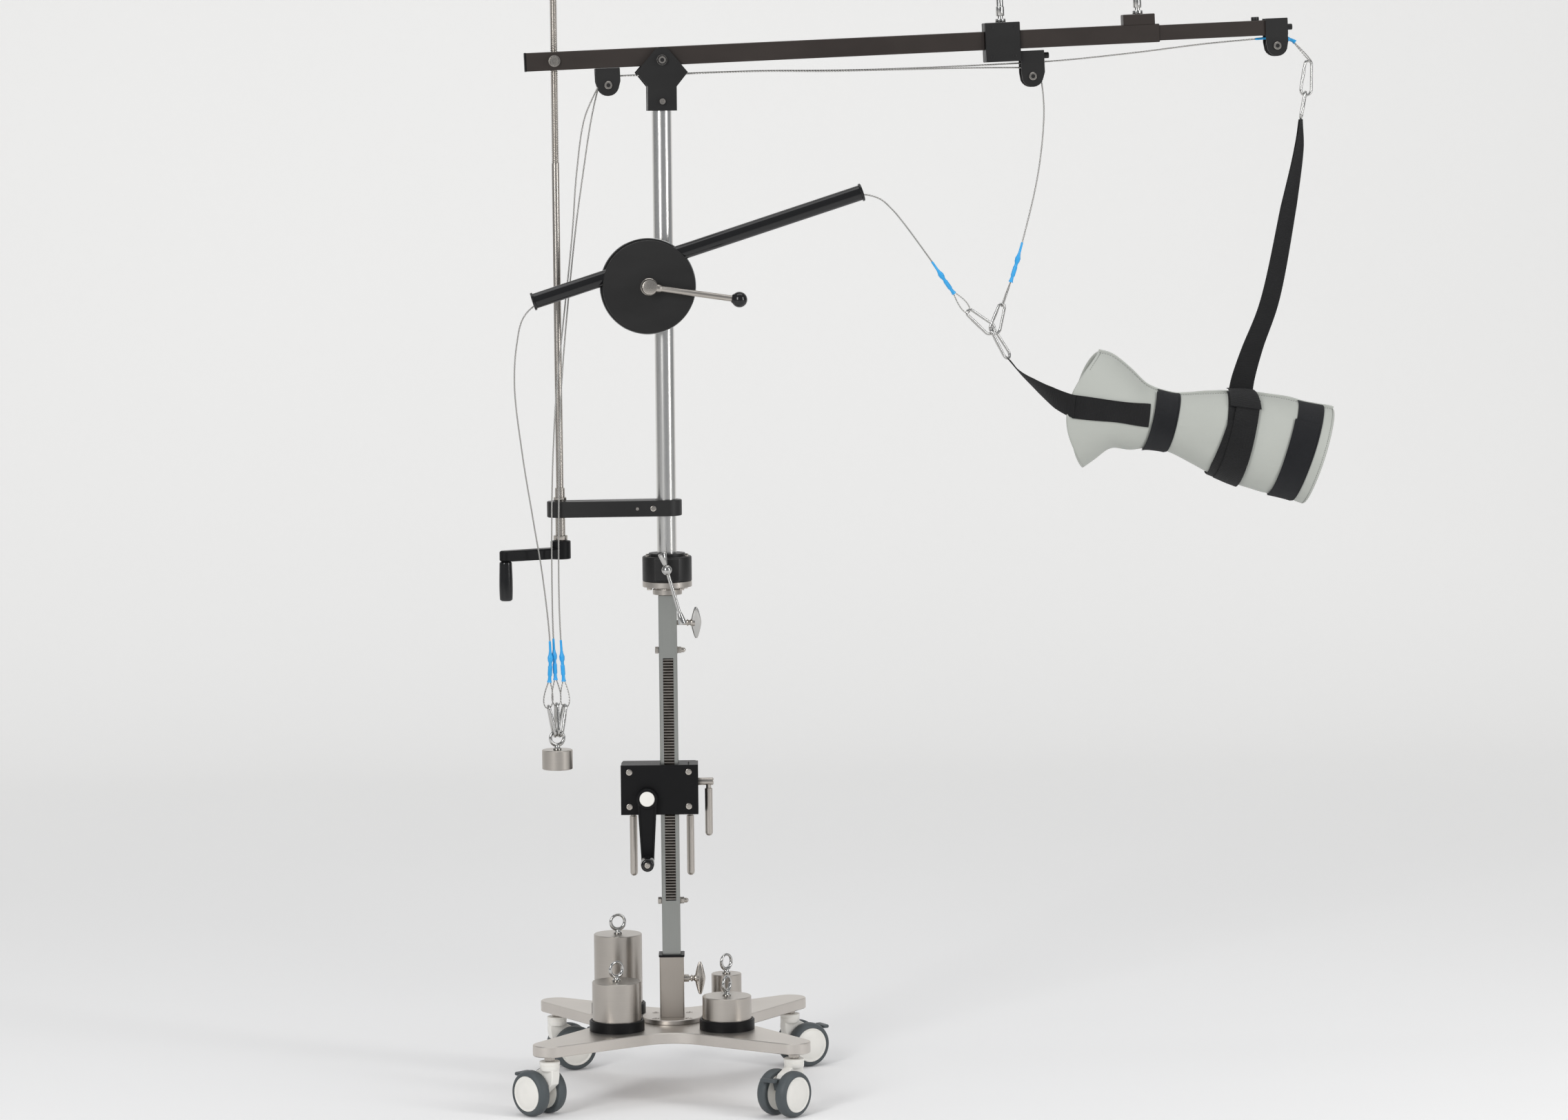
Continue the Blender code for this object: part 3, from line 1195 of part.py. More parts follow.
def cord_over_end():
    start = left_snap_top(2) + Vector((0.0008, 0, SNAP_WIRE_R + GAP))
    points = [start, (-0.1790, -0.036, 0.700), (-0.1770, -0.028, 0.888), (-0.1700, -0.020, 1.069),
              (-0.1440, -0.006, 1.315), (-0.1290, 0.000, 1.416), (-0.1140, 0.003, 1.505)]
    points += over_sheave(LEFT_SHEAVE, GROOVE_Y, 168, 92)
    points += [on_beam(0.0, GROOVE_Y, -0.0232), on_beam(0.159, GROOVE_Y, -0.0250),
               on_beam(0.272, GROOVE_Y, -0.0295), on_beam(0.385, GROOVE_Y, -0.0320),
               on_beam(0.498, GROOVE_Y, -0.0327), on_beam(0.605, GROOVE_Y, -0.0322),
               on_beam(0.669, 0.003, -0.0306), on_beam(0.783, 0.002, -0.0238), on_beam(0.897, 0.001, -0.0150)]
    points += over_sheave(END_SHEAVE, 0.0, 102, 72, 2)
    points += [(1.0390, 0.0, 1.6195), (1.0560, 0.0, 1.6040), C_END + Vector((0.0005, 0, 0.0032))]
    return cord("cord_c", points, steel())


def band(name, sections, thickness, look):
    """A strip of webbing swept through cross-lines, each given by its middle, its half width and its turn."""
    bm = bmesh.new()
    rings = []
    for i, (middle, half, lean, twist) in enumerate(sections):
        middle = Vector(middle)
        across = Vector((math.cos(lean) * math.cos(twist), math.sin(twist), math.sin(lean) * math.cos(twist)))
        before = Vector(sections[max(i - 1, 0)][0])
        after = Vector(sections[min(i + 1, len(sections) - 1)][0])
        normal = across.cross((after - before).normalized()).normalized() * (thickness / 2)
        edge = across * half
        corners = (edge + normal, normal - edge, -edge - normal, edge - normal)
        rings.append([bm.verts.new(middle + corner) for corner in corners])
    for first, second in zip(rings, rings[1:]):
        for j in range(4):
            k = (j + 1) % 4
            bm.faces.new((first[j], first[k], second[k], second[j]))
    bm.faces.new(rings[0])
    bm.faces.new(rings[-1])
    bmesh.ops.triangulate(bm, faces=bm.faces)
    return finish(mesh_object(name, bm), name, look)


CUFF_RINGS = (
    (0.7000, 1.0180, 0.0980, 0.060, 82.0),
    (0.7240, 1.0210, 0.0890, 0.058, 80.0),
    (0.7510, 1.0190, 0.0735, 0.054, 77.0),
    (0.7810, 1.0030, 0.0560, 0.048, 74.0),
    (0.8110, 0.9990, 0.0490, 0.045, 73.0),
    (0.8460, 0.9930, 0.0505, 0.045, 74.0),
    (0.8830, 0.9850, 0.0600, 0.049, 75.0),
    (0.9180, 0.9760, 0.0700, 0.054, 75.0),
    (0.9680, 0.9640, 0.0775, 0.058, 73.5),
    (1.0290, 0.9490, 0.0815, 0.060, 72.5),
    (1.0820, 0.9350, 0.0820, 0.061, 72.0),
)
CUFF_WALL = 0.006


def cuff_ring(bm, ring, inset, sides=14):
    """One oval of the cuff: its middle, half height, half depth and the lean of its plane."""
    x, z, half_height, half_depth, lean = ring
    up = Vector((math.cos(math.radians(lean)), 0, math.sin(math.radians(lean))))
    made = []
    for i in range(sides):
        angle = 2 * math.pi * i / sides
        made.append(bm.verts.new(Vector((x, 0, z)) + up * ((half_height - inset) * math.sin(angle))
                                 + Vector((0, 1, 0)) * ((half_depth - inset) * math.cos(angle))))
    return made


def arm_cuff():
    """The padded sleeve for the forearm, open at the elbow and flared at the hand."""
    bm = bmesh.new()
    outer = [cuff_ring(bm, ring, 0.0) for ring in CUFF_RINGS]
    inner = [cuff_ring(bm, ring, CUFF_WALL) for ring in CUFF_RINGS]
    walls = list(zip(outer, outer[1:])) + [(outer[-1], inner[-1])]
    walls += list(zip(inner[::-1], inner[::-1][1:])) + [(inner[0], outer[0])]
    for first, second in walls:
        for j in range(len(first)):
            k = (j + 1) % len(first)
            bm.faces.new((first[j], first[k], second[k], second[j]))
    return finish(mesh_object("cuff", bm), "arm_cuff", cuff_grey())


def long_strap():
    sections = (
        ((1.0528, 0.000, 1.4905), 0.0050, 0.1, 0.9),
        ((1.0500, 0.000, 1.4450), 0.0100, 0.15, 0.6),
        ((1.0330, 0.000, 1.3500), 0.0155, 0.15, 0.4),
        ((1.0000, 0.000, 1.1900), 0.0175, 0.10, 0.25),
        ((0.9720, 0.000, 1.0820), 0.0200, 0.00, 0.10),
        ((0.9640, 0.000, 1.0485), 0.0200, -0.20, 0.0),
    )
    return band("long_strap", sections, 0.0024, webbing())


def short_strap():
    sections = (
        ((0.5667, -0.004, 1.1021), 0.0050, -0.5, 1.1),
        ((0.5860, -0.010, 1.0790), 0.0100, -0.9, 0.9),
        ((0.6140, -0.022, 1.0560), 0.0160, -1.2, 0.5),
        ((0.6400, -0.040, 1.0410), 0.0185, -1.5416, -0.2),
        ((0.6740, -0.0590, 1.0300), 0.0180, -1.6416, -0.1),
        ((0.7240, -0.0632, 1.0240), 0.0180, -1.6916, -0.05),
    )
    return band("short_strap", sections, 0.0024, webbing())


def build_stand():
    stand = frame_empty("stand_frame", (0, 0, 0), (0, 0, STAND_YAW))
    base_plate(stand)
    stored_weights(stand)
    for corner in CASTERS:
        caster(corner, stand)
    sleeve_post(stand)
    wing_screw("base_wing_screw", BASE_WING_Z, 0.0157, 0.0465, stand)
    column_tube(stand)
    rack(stand)
    wing_screw("head_wing_screw", HEAD_WING_Z, 0.0122, 0.0465, stand, tilt=0.25)
    lift_box(stand)
    lift_crank(stand)
    lift_crank_grip(stand)
    rail_levers(stand)
    column_lock_lever(stand)
    head_flange(stand)
    head_hub(stand)
    clamp_screw(stand)
    tommy_bar(stand)


def build_mast():
    mast_pole()
    clamp_arm()
    tilt_screw()
    tilt_crank()
    tilt_crank_grip()
    head_bracket()
    disc_mount()
    clamp_disc()
    guide_tube()
    trunnion_nut()


def build_beam():
    beam = frame_empty("beam_frame", (0, 0, PIVOT_Z), (0, -BEAM_SLOPE, 0))
    beam_tube(beam)
    joint_box(beam)
    outer_beam(beam)
    inner_beam(beam)
    left_bracket(beam)
    mid_bracket(beam)
    end_bracket(beam)
    sheaves(beam)
    locking_handles(beam)


def build_rigging():
    hanging_weight()
    left_snap_rings()
    right_snap_rings()
    end_snap_ring()
    cord_through_tube()
    cord_over_mid()
    cord_over_end()
    arm_cuff()
    long_strap()
    short_strap()


def main():
    clear_scene()
    build_stand()
    build_mast()
    build_beam()
    build_rigging()


main()
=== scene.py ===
"""Looks for a shoulder traction frame on a wheeled stand, laid out as an add-on and run as a script."""

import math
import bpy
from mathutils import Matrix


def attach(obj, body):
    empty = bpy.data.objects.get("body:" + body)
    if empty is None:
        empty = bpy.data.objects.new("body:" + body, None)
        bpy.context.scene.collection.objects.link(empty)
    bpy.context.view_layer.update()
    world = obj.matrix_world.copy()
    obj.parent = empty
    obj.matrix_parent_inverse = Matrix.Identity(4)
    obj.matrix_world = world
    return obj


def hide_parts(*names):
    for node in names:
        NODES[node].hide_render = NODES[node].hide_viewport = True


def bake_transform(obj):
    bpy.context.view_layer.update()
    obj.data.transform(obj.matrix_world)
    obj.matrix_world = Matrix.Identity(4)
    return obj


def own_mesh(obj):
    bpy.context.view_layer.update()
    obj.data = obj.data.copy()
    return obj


bl_info = {
    "name": "Shoulder Traction Frame",
    "version": (1, 0, 0),
    "blender": (4, 5, 0),
    "location": "3D View > Sidebar > Traction",
    "description": "Dresses a packed traction frame with finished metal, plastic, cord and cloth pieces",
    "category": "Object",
}

import bmesh
import bpy
import numpy as np
from bpy.props import FloatProperty, FloatVectorProperty, PointerProperty
from mathutils import Matrix, Vector

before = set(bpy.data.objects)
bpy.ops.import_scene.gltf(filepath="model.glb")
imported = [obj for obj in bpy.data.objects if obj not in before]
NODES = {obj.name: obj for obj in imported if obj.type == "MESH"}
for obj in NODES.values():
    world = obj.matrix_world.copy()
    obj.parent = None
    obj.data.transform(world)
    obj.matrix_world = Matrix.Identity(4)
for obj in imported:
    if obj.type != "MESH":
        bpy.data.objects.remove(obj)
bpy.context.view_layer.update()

TAU = 2 * math.pi

# The floor under the casters, the stand's turn below the beam, the beam's slope and the height of its pivot
FLOOR_Z = -0.100
STAND_YAW = math.radians(-4.2)
BEAM_SLOPE = math.radians(2.14)
PIVOT_Z = 1.597

# The finishes made so far
LOOKS = {}


# Shader maths


class Value:
    """A number socket that takes Python's operators, each of which adds one Math node.

    The reflected forms are there so that 1 - mask works.
    """

    def __init__(self, finish, socket):
        self.finish = finish
        self.socket = socket

    def __add__(self, other):
        return self.finish.math("ADD", self, other)

    __radd__ = __add__

    def __sub__(self, other):
        return self.finish.math("SUBTRACT", self, other)

    def __rsub__(self, other):
        return self.finish.math("SUBTRACT", other, self)

    def __mul__(self, other):
        return self.finish.math("MULTIPLY", self, other)

    __rmul__ = __mul__

    def __gt__(self, other):
        return self.finish.math("GREATER_THAN", self, other)

    def sine(self):
        return self.finish.math("SINE", self)

    def power(self, other):
        return self.finish.math("POWER", self, other)


class Finish:
    """A material in the making: its Principled shader and the nodes that feed it."""

    def __init__(self, name, colour, roughness, metallic=0.0, sockets=None):
        self.material = bpy.data.materials.new(name)
        self.material.use_nodes = True
        self.tree = self.material.node_tree
        self.shader = self.tree.nodes["Principled BSDF"]
        self.give(self.shader, {"Base Color": (*colour, 1.0), "Roughness": roughness, "Metallic": metallic})
        self.give(self.shader, sockets or {})
        self.material.diffuse_color = (*colour, 1.0)

    def give(self, node, inputs):
        """Set a node's sockets: by a link where a socket is given, else by the value."""
        for key, value in inputs.items():
            if isinstance(value, Value):
                value = value.socket
            if isinstance(value, bpy.types.NodeSocket):
                self.tree.links.new(value, node.inputs[key])
            else:
                node.inputs[key].default_value = value

    def node(self, kind, settings=None, inputs=None):
        """One node: its settings first, then the values or links of its sockets."""
        made = self.tree.nodes.new(kind)
        for key, value in (settings or {}).items():
            setattr(made, key, value)
        self.give(made, inputs or {})
        return made

    def math(self, operation, first, second=0.0):
        """One Math node on two numbers."""
        made = self.node("ShaderNodeMath", {"operation": operation}, {0: first, 1: second})
        return Value(self, made.outputs[0])

    def place(self):
        """The object's own coordinates, in metres."""
        return self.node("ShaderNodeTexCoord").outputs["Object"]

    def along_surface(self):
        """The two coordinates of the piece's own map: metres along it and metres across it."""
        split = self.node("ShaderNodeSeparateXYZ", None, {0: self.node("ShaderNodeTexCoord").outputs["UV"]})
        return Value(self, split.outputs[0]), Value(self, split.outputs[1])

    def noise(self, stretch, detail=3.0, rough=0.6):
        """Fractal noise on the object's own coordinates, stretched by one factor for each axis."""
        mapped = self.node("ShaderNodeMapping", None, {"Vector": self.place(), "Scale": stretch})
        made = self.node("ShaderNodeTexNoise", None,
                         {"Vector": mapped.outputs[0], "Scale": 1.0, "Detail": detail, "Roughness": rough})
        return Value(self, made.outputs[0])

    def blend(self, factor, first, second):
        """A colour that runs from the first to the second as the factor goes from 0 to 1."""
        made = self.node("ShaderNodeMix", {"data_type": "RGBA"},
                         {0: factor, 6: (*first, 1.0), 7: (*second, 1.0)})
        return made.outputs[2]

    def colour(self, factor, first, second):
        """Let the base colour run between two colours."""
        self.give(self.shader, {"Base Color": self.blend(factor, first, second)})

    def roughness(self, value):
        """Let the roughness follow a value."""
        self.give(self.shader, {"Roughness": value})

    def relief(self, height, depth):
        """Let the surface seem to rise by the height times a depth in metres."""
        bump = self.node("ShaderNodeBump", None, {"Strength": 1.0, "Distance": depth, "Height": height})
        self.give(self.shader, {"Normal": bump.outputs[0]})


def shade(colour, factor):
    """A colour times a factor, each part held at 1 or less."""
    return tuple(min(1.0, c * factor) for c in colour)


def colours():
    """The colours that the user set."""
    return bpy.context.scene.traction_colours


def brushed(name, stretch, rough=0.24, spread=0.16, tint=(1.0, 1.0, 1.0)):
    """Stainless steel whose fine lines run along the axis with the smallest stretch factor."""
    base = tuple(c * t for c, t in zip(colours().steel, tint))
    finish = Finish(name, base, rough, 1.0)
    lines = finish.noise(stretch, 4.0, 0.7)
    clouds = finish.noise((9.0, 9.0, 7.0), 2.0)
    finish.colour(clouds * 0.6 + lines * 0.4, shade(base, 0.80), shade(base, 1.12))
    finish.roughness(rough + lines * spread)
    finish.relief(lines, 0.00004)
    return finish.material


def polished_steel(name):
    """Steel polished almost to a mirror: only faint smears change its gloss."""
    finish = Finish(name, (0.50, 0.495, 0.48), 0.14, 1.0)
    smears = finish.noise((45.0, 45.0, 45.0), 2.0)
    finish.roughness(0.10 + smears * 0.08)
    return finish.material


def rack_steel(name):
    """Dark, oiled steel: one noise for the oil varies colour, gloss and relief."""
    base = shade(colours().steel, 0.62)
    finish = Finish(name, base, 0.35, 1.0)
    oil = finish.noise((120.0, 120.0, 220.0), 3.0)
    finish.colour(oil, shade(base, 0.55), shade(base, 1.15))
    finish.roughness(0.28 + oil * 0.25)
    finish.relief(oil, 0.00008)
    return finish.material


def anodised(name, base):
    """Anodised aluminium: a fine grain, and clouds where hands have worn it."""
    finish = Finish(name, base, 0.42, 0.35)
    grain = finish.noise((260.0, 260.0, 260.0), 2.0)
    clouds = finish.noise((6.0, 14.0, 14.0), 3.0)
    finish.colour(clouds, shade(base, 0.72), shade(base, 1.45))
    finish.roughness(0.36 + clouds * 0.14)
    finish.relief(grain, 0.00003)
    return finish.material


def moulded(name, base, rough, depth=0.00006, shine=0.5):
    """Moulded plastic: a fine sand texture and slightly uneven gloss."""
    finish = Finish(name, base, rough, 0.0, {"Specular IOR Level": shine})
    sand = finish.noise((900.0, 900.0, 900.0), 2.0)
    clouds = finish.noise((22.0, 22.0, 22.0), 3.0)
    finish.colour(clouds, shade(base, 0.90), shade(base, 1.10))
    finish.roughness(rough - 0.05 + clouds * 0.10)
    finish.relief(sand, depth)
    return finish.material


def woven(name, base, rib, depth, rough=0.78):
    """Webbing: ribs across the strap, and yarns as the product of two diagonal waves, on its own map."""
    finish = Finish(name, base, rough, 0.0, {"Sheen Weight": 0.08, "Sheen Roughness": 0.45,
                                             "Specular IOR Level": 0.3})
    along, across = finish.along_surface()
    ribs = (along * (TAU / rib)).sine()
    turn = TAU / (rib * 0.8)
    yarn = ((along + across) * turn).sine() * ((across - along) * turn).sine()
    wear = finish.noise((30.0, 30.0, 30.0), 3.0)
    finish.colour(wear * 0.7 + ribs * 0.15, shade(base, 0.7), shade(base, 1.7))
    finish.relief(ribs * 0.5 + yarn * 0.5, depth)
    return finish.material


def cuff_cover(name):
    """Coated cloth over foam: a very fine weave, faint creases and a soft, uneven sheen."""
    base = colours().cuff
    finish = Finish(name, base, 0.46, 0.0, {"Sheen Weight": 0.05})
    along, across = finish.along_surface()
    pitch = 0.0011
    weave = (along * (TAU / pitch)).sine() * (across * (TAU / pitch)).sine()
    creases = finish.noise((26.0, 26.0, 60.0), 4.0, 0.55)
    clouds = finish.noise((8.0, 8.0, 8.0), 3.0)
    finish.colour(clouds, shade(base, 0.95), shade(base, 1.05))
    finish.roughness(0.40 + creases * 0.16)
    finish.relief(weave * 0.06 + creases, 0.0009)
    return finish.material


def wire_rope(name):
    """Stranded steel rope: strands that wind round it, drawn on the rope's own map."""
    base = (0.50, 0.49, 0.47)
    finish = Finish(name, base, 0.35, 0.9)
    along, across = finish.along_surface()
    strands = (along * (TAU / 0.0045) + across * (TAU / 0.0026)).sine()
    finish.colour(strands * 0.5 + 0.5, shade(base, 0.55), shade(base, 1.2))
    finish.relief(strands, 0.00025)
    return finish.material


def blue_sleeve(name):
    """Shrunk plastic with a soft gloss: one noise for its folds varies colour and relief."""
    base = colours().sleeve
    finish = Finish(name, base, 0.34, 0.0, {"Coat Weight": 0.25})
    folds = finish.noise((160.0, 160.0, 90.0), 3.0)
    finish.colour(folds, shade(base, 0.86), shade(base, 1.10))
    finish.relief(folds, 0.0006)
    return finish.material


# Each finish's material slot in the record, and what makes it
FINISHES = {
    "turned steel": ("brushed_steel", lambda name: brushed(name, (14.0, 14.0, 1500.0))),
    "plate steel": ("brushed_steel", lambda name: brushed(
        name, (12.0, 1400.0, 1400.0), 0.30, 0.18, (1.35, 1.36, 1.38))),
    # The pole's steel is tinted well above the other steel: painted brightness that stands in for the
    # bright reflections along the pole.
    "upright steel": ("brushed_steel", lambda name: brushed(
        name, (1400.0, 1400.0, 10.0), 0.16, 0.12, (1.55, 1.64, 1.74))),
    "column steel": ("brushed_steel", lambda name: brushed(
        name, (1400.0, 1400.0, 10.0), 0.32, 0.18, (0.72, 0.79, 0.82))),
    "sleeve steel": ("brushed_steel", lambda name: brushed(
        name, (1400.0, 1400.0, 10.0), 0.30, 0.18, (0.92, 0.90, 0.88))),
    "screw steel": ("brushed_steel", lambda name: brushed(name, (500.0, 500.0, 500.0), 0.20, 0.14)),
    "rack steel": ("brushed_steel", rack_steel),
    "polished steel": ("polished_steel", polished_steel),
    "black anodised": ("black_anodised", lambda name: anodised(name, colours().anodised)),
    "worn anodised": ("black_anodised", lambda name: anodised(name, colours().beam)),
    "black moulded": ("black_plastic", lambda name: moulded(name, colours().plastic, 0.40, 0.0001, 0.16)),
    "gloss black": ("black_plastic", lambda name: moulded(name, colours().plastic, 0.16, 0.00001)),
    "white moulded": ("white_plastic", lambda name: moulded(name, (0.90, 0.88, 0.83), 0.36)),
    "tyre": ("caster_grey", lambda name: moulded(name, colours().tyre, 0.52, 0.00012)),
    "webbing": ("webbing", lambda name: woven(name, colours().webbing, 0.0022, 0.0004)),
    "hook band": ("webbing", lambda name: woven(name, (0.0125, 0.0132, 0.0158), 0.0014, 0.0005, 0.88)),
    "cuff cover": ("cuff_cover", cuff_cover),
    "thread": ("cuff_cover", lambda name: moulded(name, shade(colours().cuff, 0.45), 0.7)),
    "wire rope": ("brushed_steel", wire_rope),
    "blue sleeve": ("black_plastic", blue_sleeve),
}


def look(name):
    """A finish by its name, made at its first use."""
    if name not in LOOKS:
        LOOKS[name] = FINISHES[name][1](name)
    return LOOKS[name]


# Places and axes


def on_stand(x, y, z):
    """A point of the stand's own axes, which are turned about Z, in the model's axes."""
    c = math.cos(STAND_YAW)
    s = math.sin(STAND_YAW)
    return np.array((x * c - y * s, x * s + y * c, z))


def round_axis(radius, degrees, z):
    """A point of the stand at an angle on a circle about its upright axis."""
    turn = math.radians(degrees)
    return on_stand(radius * math.cos(turn), radius * math.sin(turn), z)


def turned_axes(angle):
    """The three axes after a turn about Z."""
    c = math.cos(angle)
    s = math.sin(angle)
    return np.array([(c, s, 0), (-s, c, 0), (0, 0, 1)])


def on_beam(u, y, w):
    """A point along the sloping beam: u along it, y to the rear, w square to it, from the pivot."""
    c = math.cos(BEAM_SLOPE)
    s = math.sin(BEAM_SLOPE)
    return np.array((u * c - w * s, y, PIVOT_Z + u * s + w * c))


def beam_way(u, y, w):
    """A direction in the beam's axes, as the difference of two of its points."""
    return on_beam(u, y, w) - on_beam(0, 0, 0)


STAND_AXES = np.array([on_stand(1, 0, 0), on_stand(0, 1, 0), (0, 0, 1)])
BEAM_AXES = np.array([beam_way(1, 0, 0), (0, 1, 0), beam_way(0, 0, 1)])
WORLD_AXES = np.eye(3)
# The two faces of the beam and its brackets
SIDES = (("front", -1.0), ("rear", 1.0))


def unit(vector):
    """Each vector divided by its own length."""
    vector = np.asarray(vector, float)
    return vector / np.linalg.norm(vector, axis=-1, keepdims=True)


def across_of(direction):
    """Two unit vectors square to a direction and to each other."""
    direction = unit(direction)
    helper = (0.0, 0.0, 1.0) if abs(direction[2]) < 0.9 else (1.0, 0.0, 0.0)
    first = unit(np.cross(helper, direction))
    return first, np.cross(direction, first)


# Surfaces


def distances(path):
    """How far along the path each of its points lies: the running sum of the steps' lengths."""
    return np.concatenate([[0.0], np.cumsum(np.linalg.norm(np.diff(path, axis=0), axis=1))])


def grid_quads(rows, columns, ring):
    """The row, the column and the four corner numbers of each quad of a grid whose columns close."""
    i, j = np.meshgrid(np.arange(rows if ring else rows - 1), np.arange(columns), indexing="ij")
    i2 = (i + 1) % rows
    j2 = (j + 1) % columns
    quads = np.stack([i * columns + j, i2 * columns + j, i2 * columns + j2, i * columns + j2], -1)
    return i, j, quads.reshape(-1, 4)


def grid_mesh(name, points, ring=False, sharp=32.0):
    """A mesh from a grid of points whose columns close into a loop.

    In a ring the rows close too, else both ends get a cap. The map holds metres: along the rows, and across
    the columns.
    """
    rows, columns = points.shape[:2]
    i, j, quads = grid_quads(rows, columns, ring)
    faces = quads.tolist()
    along = distances(np.concatenate([points[:, 0], points[:1, 0]]))
    middle = points[rows // 2]
    across = distances(np.concatenate([middle, middle[:1]]))
    steps = ((i, j), (i + 1, j), (i + 1, j + 1), (i, j + 1))
    corners = np.stack([np.stack([along[a], across[b]], -1) for a, b in steps], 2).reshape(-1, 2)
    if not ring:
        faces.append(list(range(columns))[::-1])
        faces.append(list(range((rows - 1) * columns, rows * columns)))
        corners = np.concatenate([corners, np.zeros((2 * columns, 2))])
    mesh = bpy.data.meshes.new(name)
    mesh.from_pydata(points.reshape(-1, 3), [], faces)
    layer = mesh.uv_layers.new(name="map")
    layer.data.foreach_set("uv", corners.astype(np.float32).ravel())
    return settle(name, mesh, sharp)


def in_scene(name, data):
    """A new object in the scene, at the origin."""
    made = bpy.data.objects.new(name, data)
    bpy.context.scene.collection.objects.link(made)
    return made


def settle(name, mesh, sharp=32.0):
    """Face a mesh outwards, smooth it up to an angle and put it in the scene."""
    bm = bmesh.new()
    bm.from_mesh(mesh)
    bmesh.ops.recalc_face_normals(bm, faces=bm.faces)
    bm.to_mesh(mesh)
    bm.free()
    mesh.shade_smooth()
    mesh.set_sharp_from_angle(angle=math.radians(sharp))
    return in_scene(name, mesh)


def turned(name, profile, origin=(0, 0, 0), direction=(0, 0, 1), sides=64, ring=False):
    """A surface of revolution: each profile point's radius swung round the axis at its height."""
    profile = np.array(profile, float)
    first, second = across_of(direction)
    turn = np.linspace(0, TAU, sides, endpoint=False)
    circle = np.outer(np.cos(turn), first) + np.outer(np.sin(turn), second)
    points = np.asarray(origin) + profile[:, 0, None, None] * circle
    points = points + profile[:, 1, None, None] * unit(direction)
    return grid_mesh(name, points, ring)


def ball_profile(radius):
    """Half a circle from pole to pole, which stops just short of the axis at both."""
    turn = np.linspace(0.06, math.pi - 0.06, 16)
    return [(radius * math.sin(t), -radius * math.cos(t)) for t in turn]


def swept(name, path, radius, closed=False, sides=12, across=(0, 1, 0), flat=1.0):
    """A tube: a circle carried along a path and kept square to it, narrowed across by a factor."""
    path = np.asarray(path, float)
    radius = np.broadcast_to(radius, len(path))
    if closed:
        way = np.roll(path, -1, 0) - np.roll(path, 1, 0)
    else:
        way = np.gradient(path, axis=0)
    way = unit(way)
    across = np.asarray(across, float)
    side = unit(across - (way @ across)[:, None] * way)
    other = np.cross(way, side)
    turn = np.linspace(0, TAU, sides, endpoint=False)
    points = path[:, None] + radius[:, None, None] * (
        flat * np.cos(turn)[None, :, None] * side[:, None] + np.sin(turn)[None, :, None] * other[:, None])
    return grid_mesh(name, points, closed)


def slab(name, outline, low, high, chamfer=0.0008, origin=(0, 0, 0), axes=WORLD_AXES, recess=None):
    """A closed line given a thickness along the third axis, drawn in a little at both faces.

    With a recess, given as its distance from the edge and its depth, the upper face sinks inside a rim.
    """
    line = np.array(outline, float)
    area = np.sum(line[:, 0] * np.roll(line[:, 1], -1) - np.roll(line[:, 0], -1) * line[:, 1])
    if area < 0:
        line = line[::-1]
    step = unit(np.roll(line, -1, 0) - np.roll(line, 1, 0))
    normal = np.stack([step[:, 1], -step[:, 0]], 1)
    levels = [(chamfer, low), (0.0, low + chamfer), (0.0, high - chamfer), (chamfer, high)]
    if recess:
        levels += [(recess[0], high), (recess[0] + 0.0005, high - recess[1])]
    points = np.array([np.column_stack([line - inset * normal, np.full(len(line), height)])
                       for inset, height in levels])
    return grid_mesh(name, points @ axes + np.asarray(origin))


def bored(name, outer, inner, low, high, origin=(0, 0, 0), axes=WORLD_AXES):
    """A block with a hole through it: out along its outline and back along the hole's, point for point."""
    ease = 0.0004
    small = outer * (1 - ease / np.abs(outer).max())
    levels = [(small, low), (outer, low + ease), (outer, high - ease), (small, high),
              (inner, high), (inner, low)]
    points = np.array([np.column_stack([line, np.full(len(line), z)]) for line, z in levels])
    return grid_mesh(name, points @ axes + np.asarray(origin), ring=True)


def arc(cx, cy, radius, start, end, steps=24):
    """Points at even turns on a circle, from a start to an end in degrees."""
    turn = np.radians(np.linspace(start, end, steps + 1))
    return np.column_stack([cx + radius * np.cos(turn), cy + radius * np.sin(turn)])


def rounded(x0, x1, y0, y1, radius):
    """A rectangle with round corners: a quarter circle about each corner's own centre."""
    centres = ((x1 - radius, y1 - radius), (x0 + radius, y1 - radius),
               (x0 + radius, y0 + radius), (x1 - radius, y0 + radius))
    return np.concatenate([arc(x, y, radius, 90 * k, 90 * k + 90, 5) for k, (x, y) in enumerate(centres)])


def smooth_route(points, parts=24):
    """A curve through the route's points, as one dense array.

    It is a centripetal Catmull-Rom curve: each stretch takes the square root of its chord as its time, so
    that a short stretch beside a long one makes no loop. Cubic Hermite steps then join the points.
    """
    p = np.asarray(points, float)
    p = np.concatenate([[2 * p[0] - p[1]], p, [2 * p[-1] - p[-2]]])
    span = np.sqrt(np.linalg.norm(np.diff(p, axis=0), axis=1))[:, None]
    pace = np.diff(p, axis=0) / span
    slope = pace[:-1] + pace[1:] - (p[2:] - p[:-2]) / (span[:-1] + span[1:])
    t = np.linspace(0, 1, parts, endpoint=False)[:, None, None]
    place = (1 + 2 * t) * (1 - t) ** 2 * p[1:-2] + t ** 2 * (3 - 2 * t) * p[2:-1]
    bend = t * (1 - t) ** 2 * slope[:-1] - t ** 2 * (1 - t) * slope[1:]
    dense = place + bend * span[1:-1]
    return np.concatenate([dense.transpose(1, 0, 2).reshape(-1, 3), p[-2:-1]])


def part_of(path, start, end, step=0.004):
    """The stretch of a path between two distances along it, sampled at even steps."""
    s = distances(path)
    if end <= 0:
        end = s[-1] + end
    at = np.linspace(start, end, max(8, int((end - start) / step)))
    return np.column_stack([np.interp(at, s, path[:, k]) for k in range(3)])


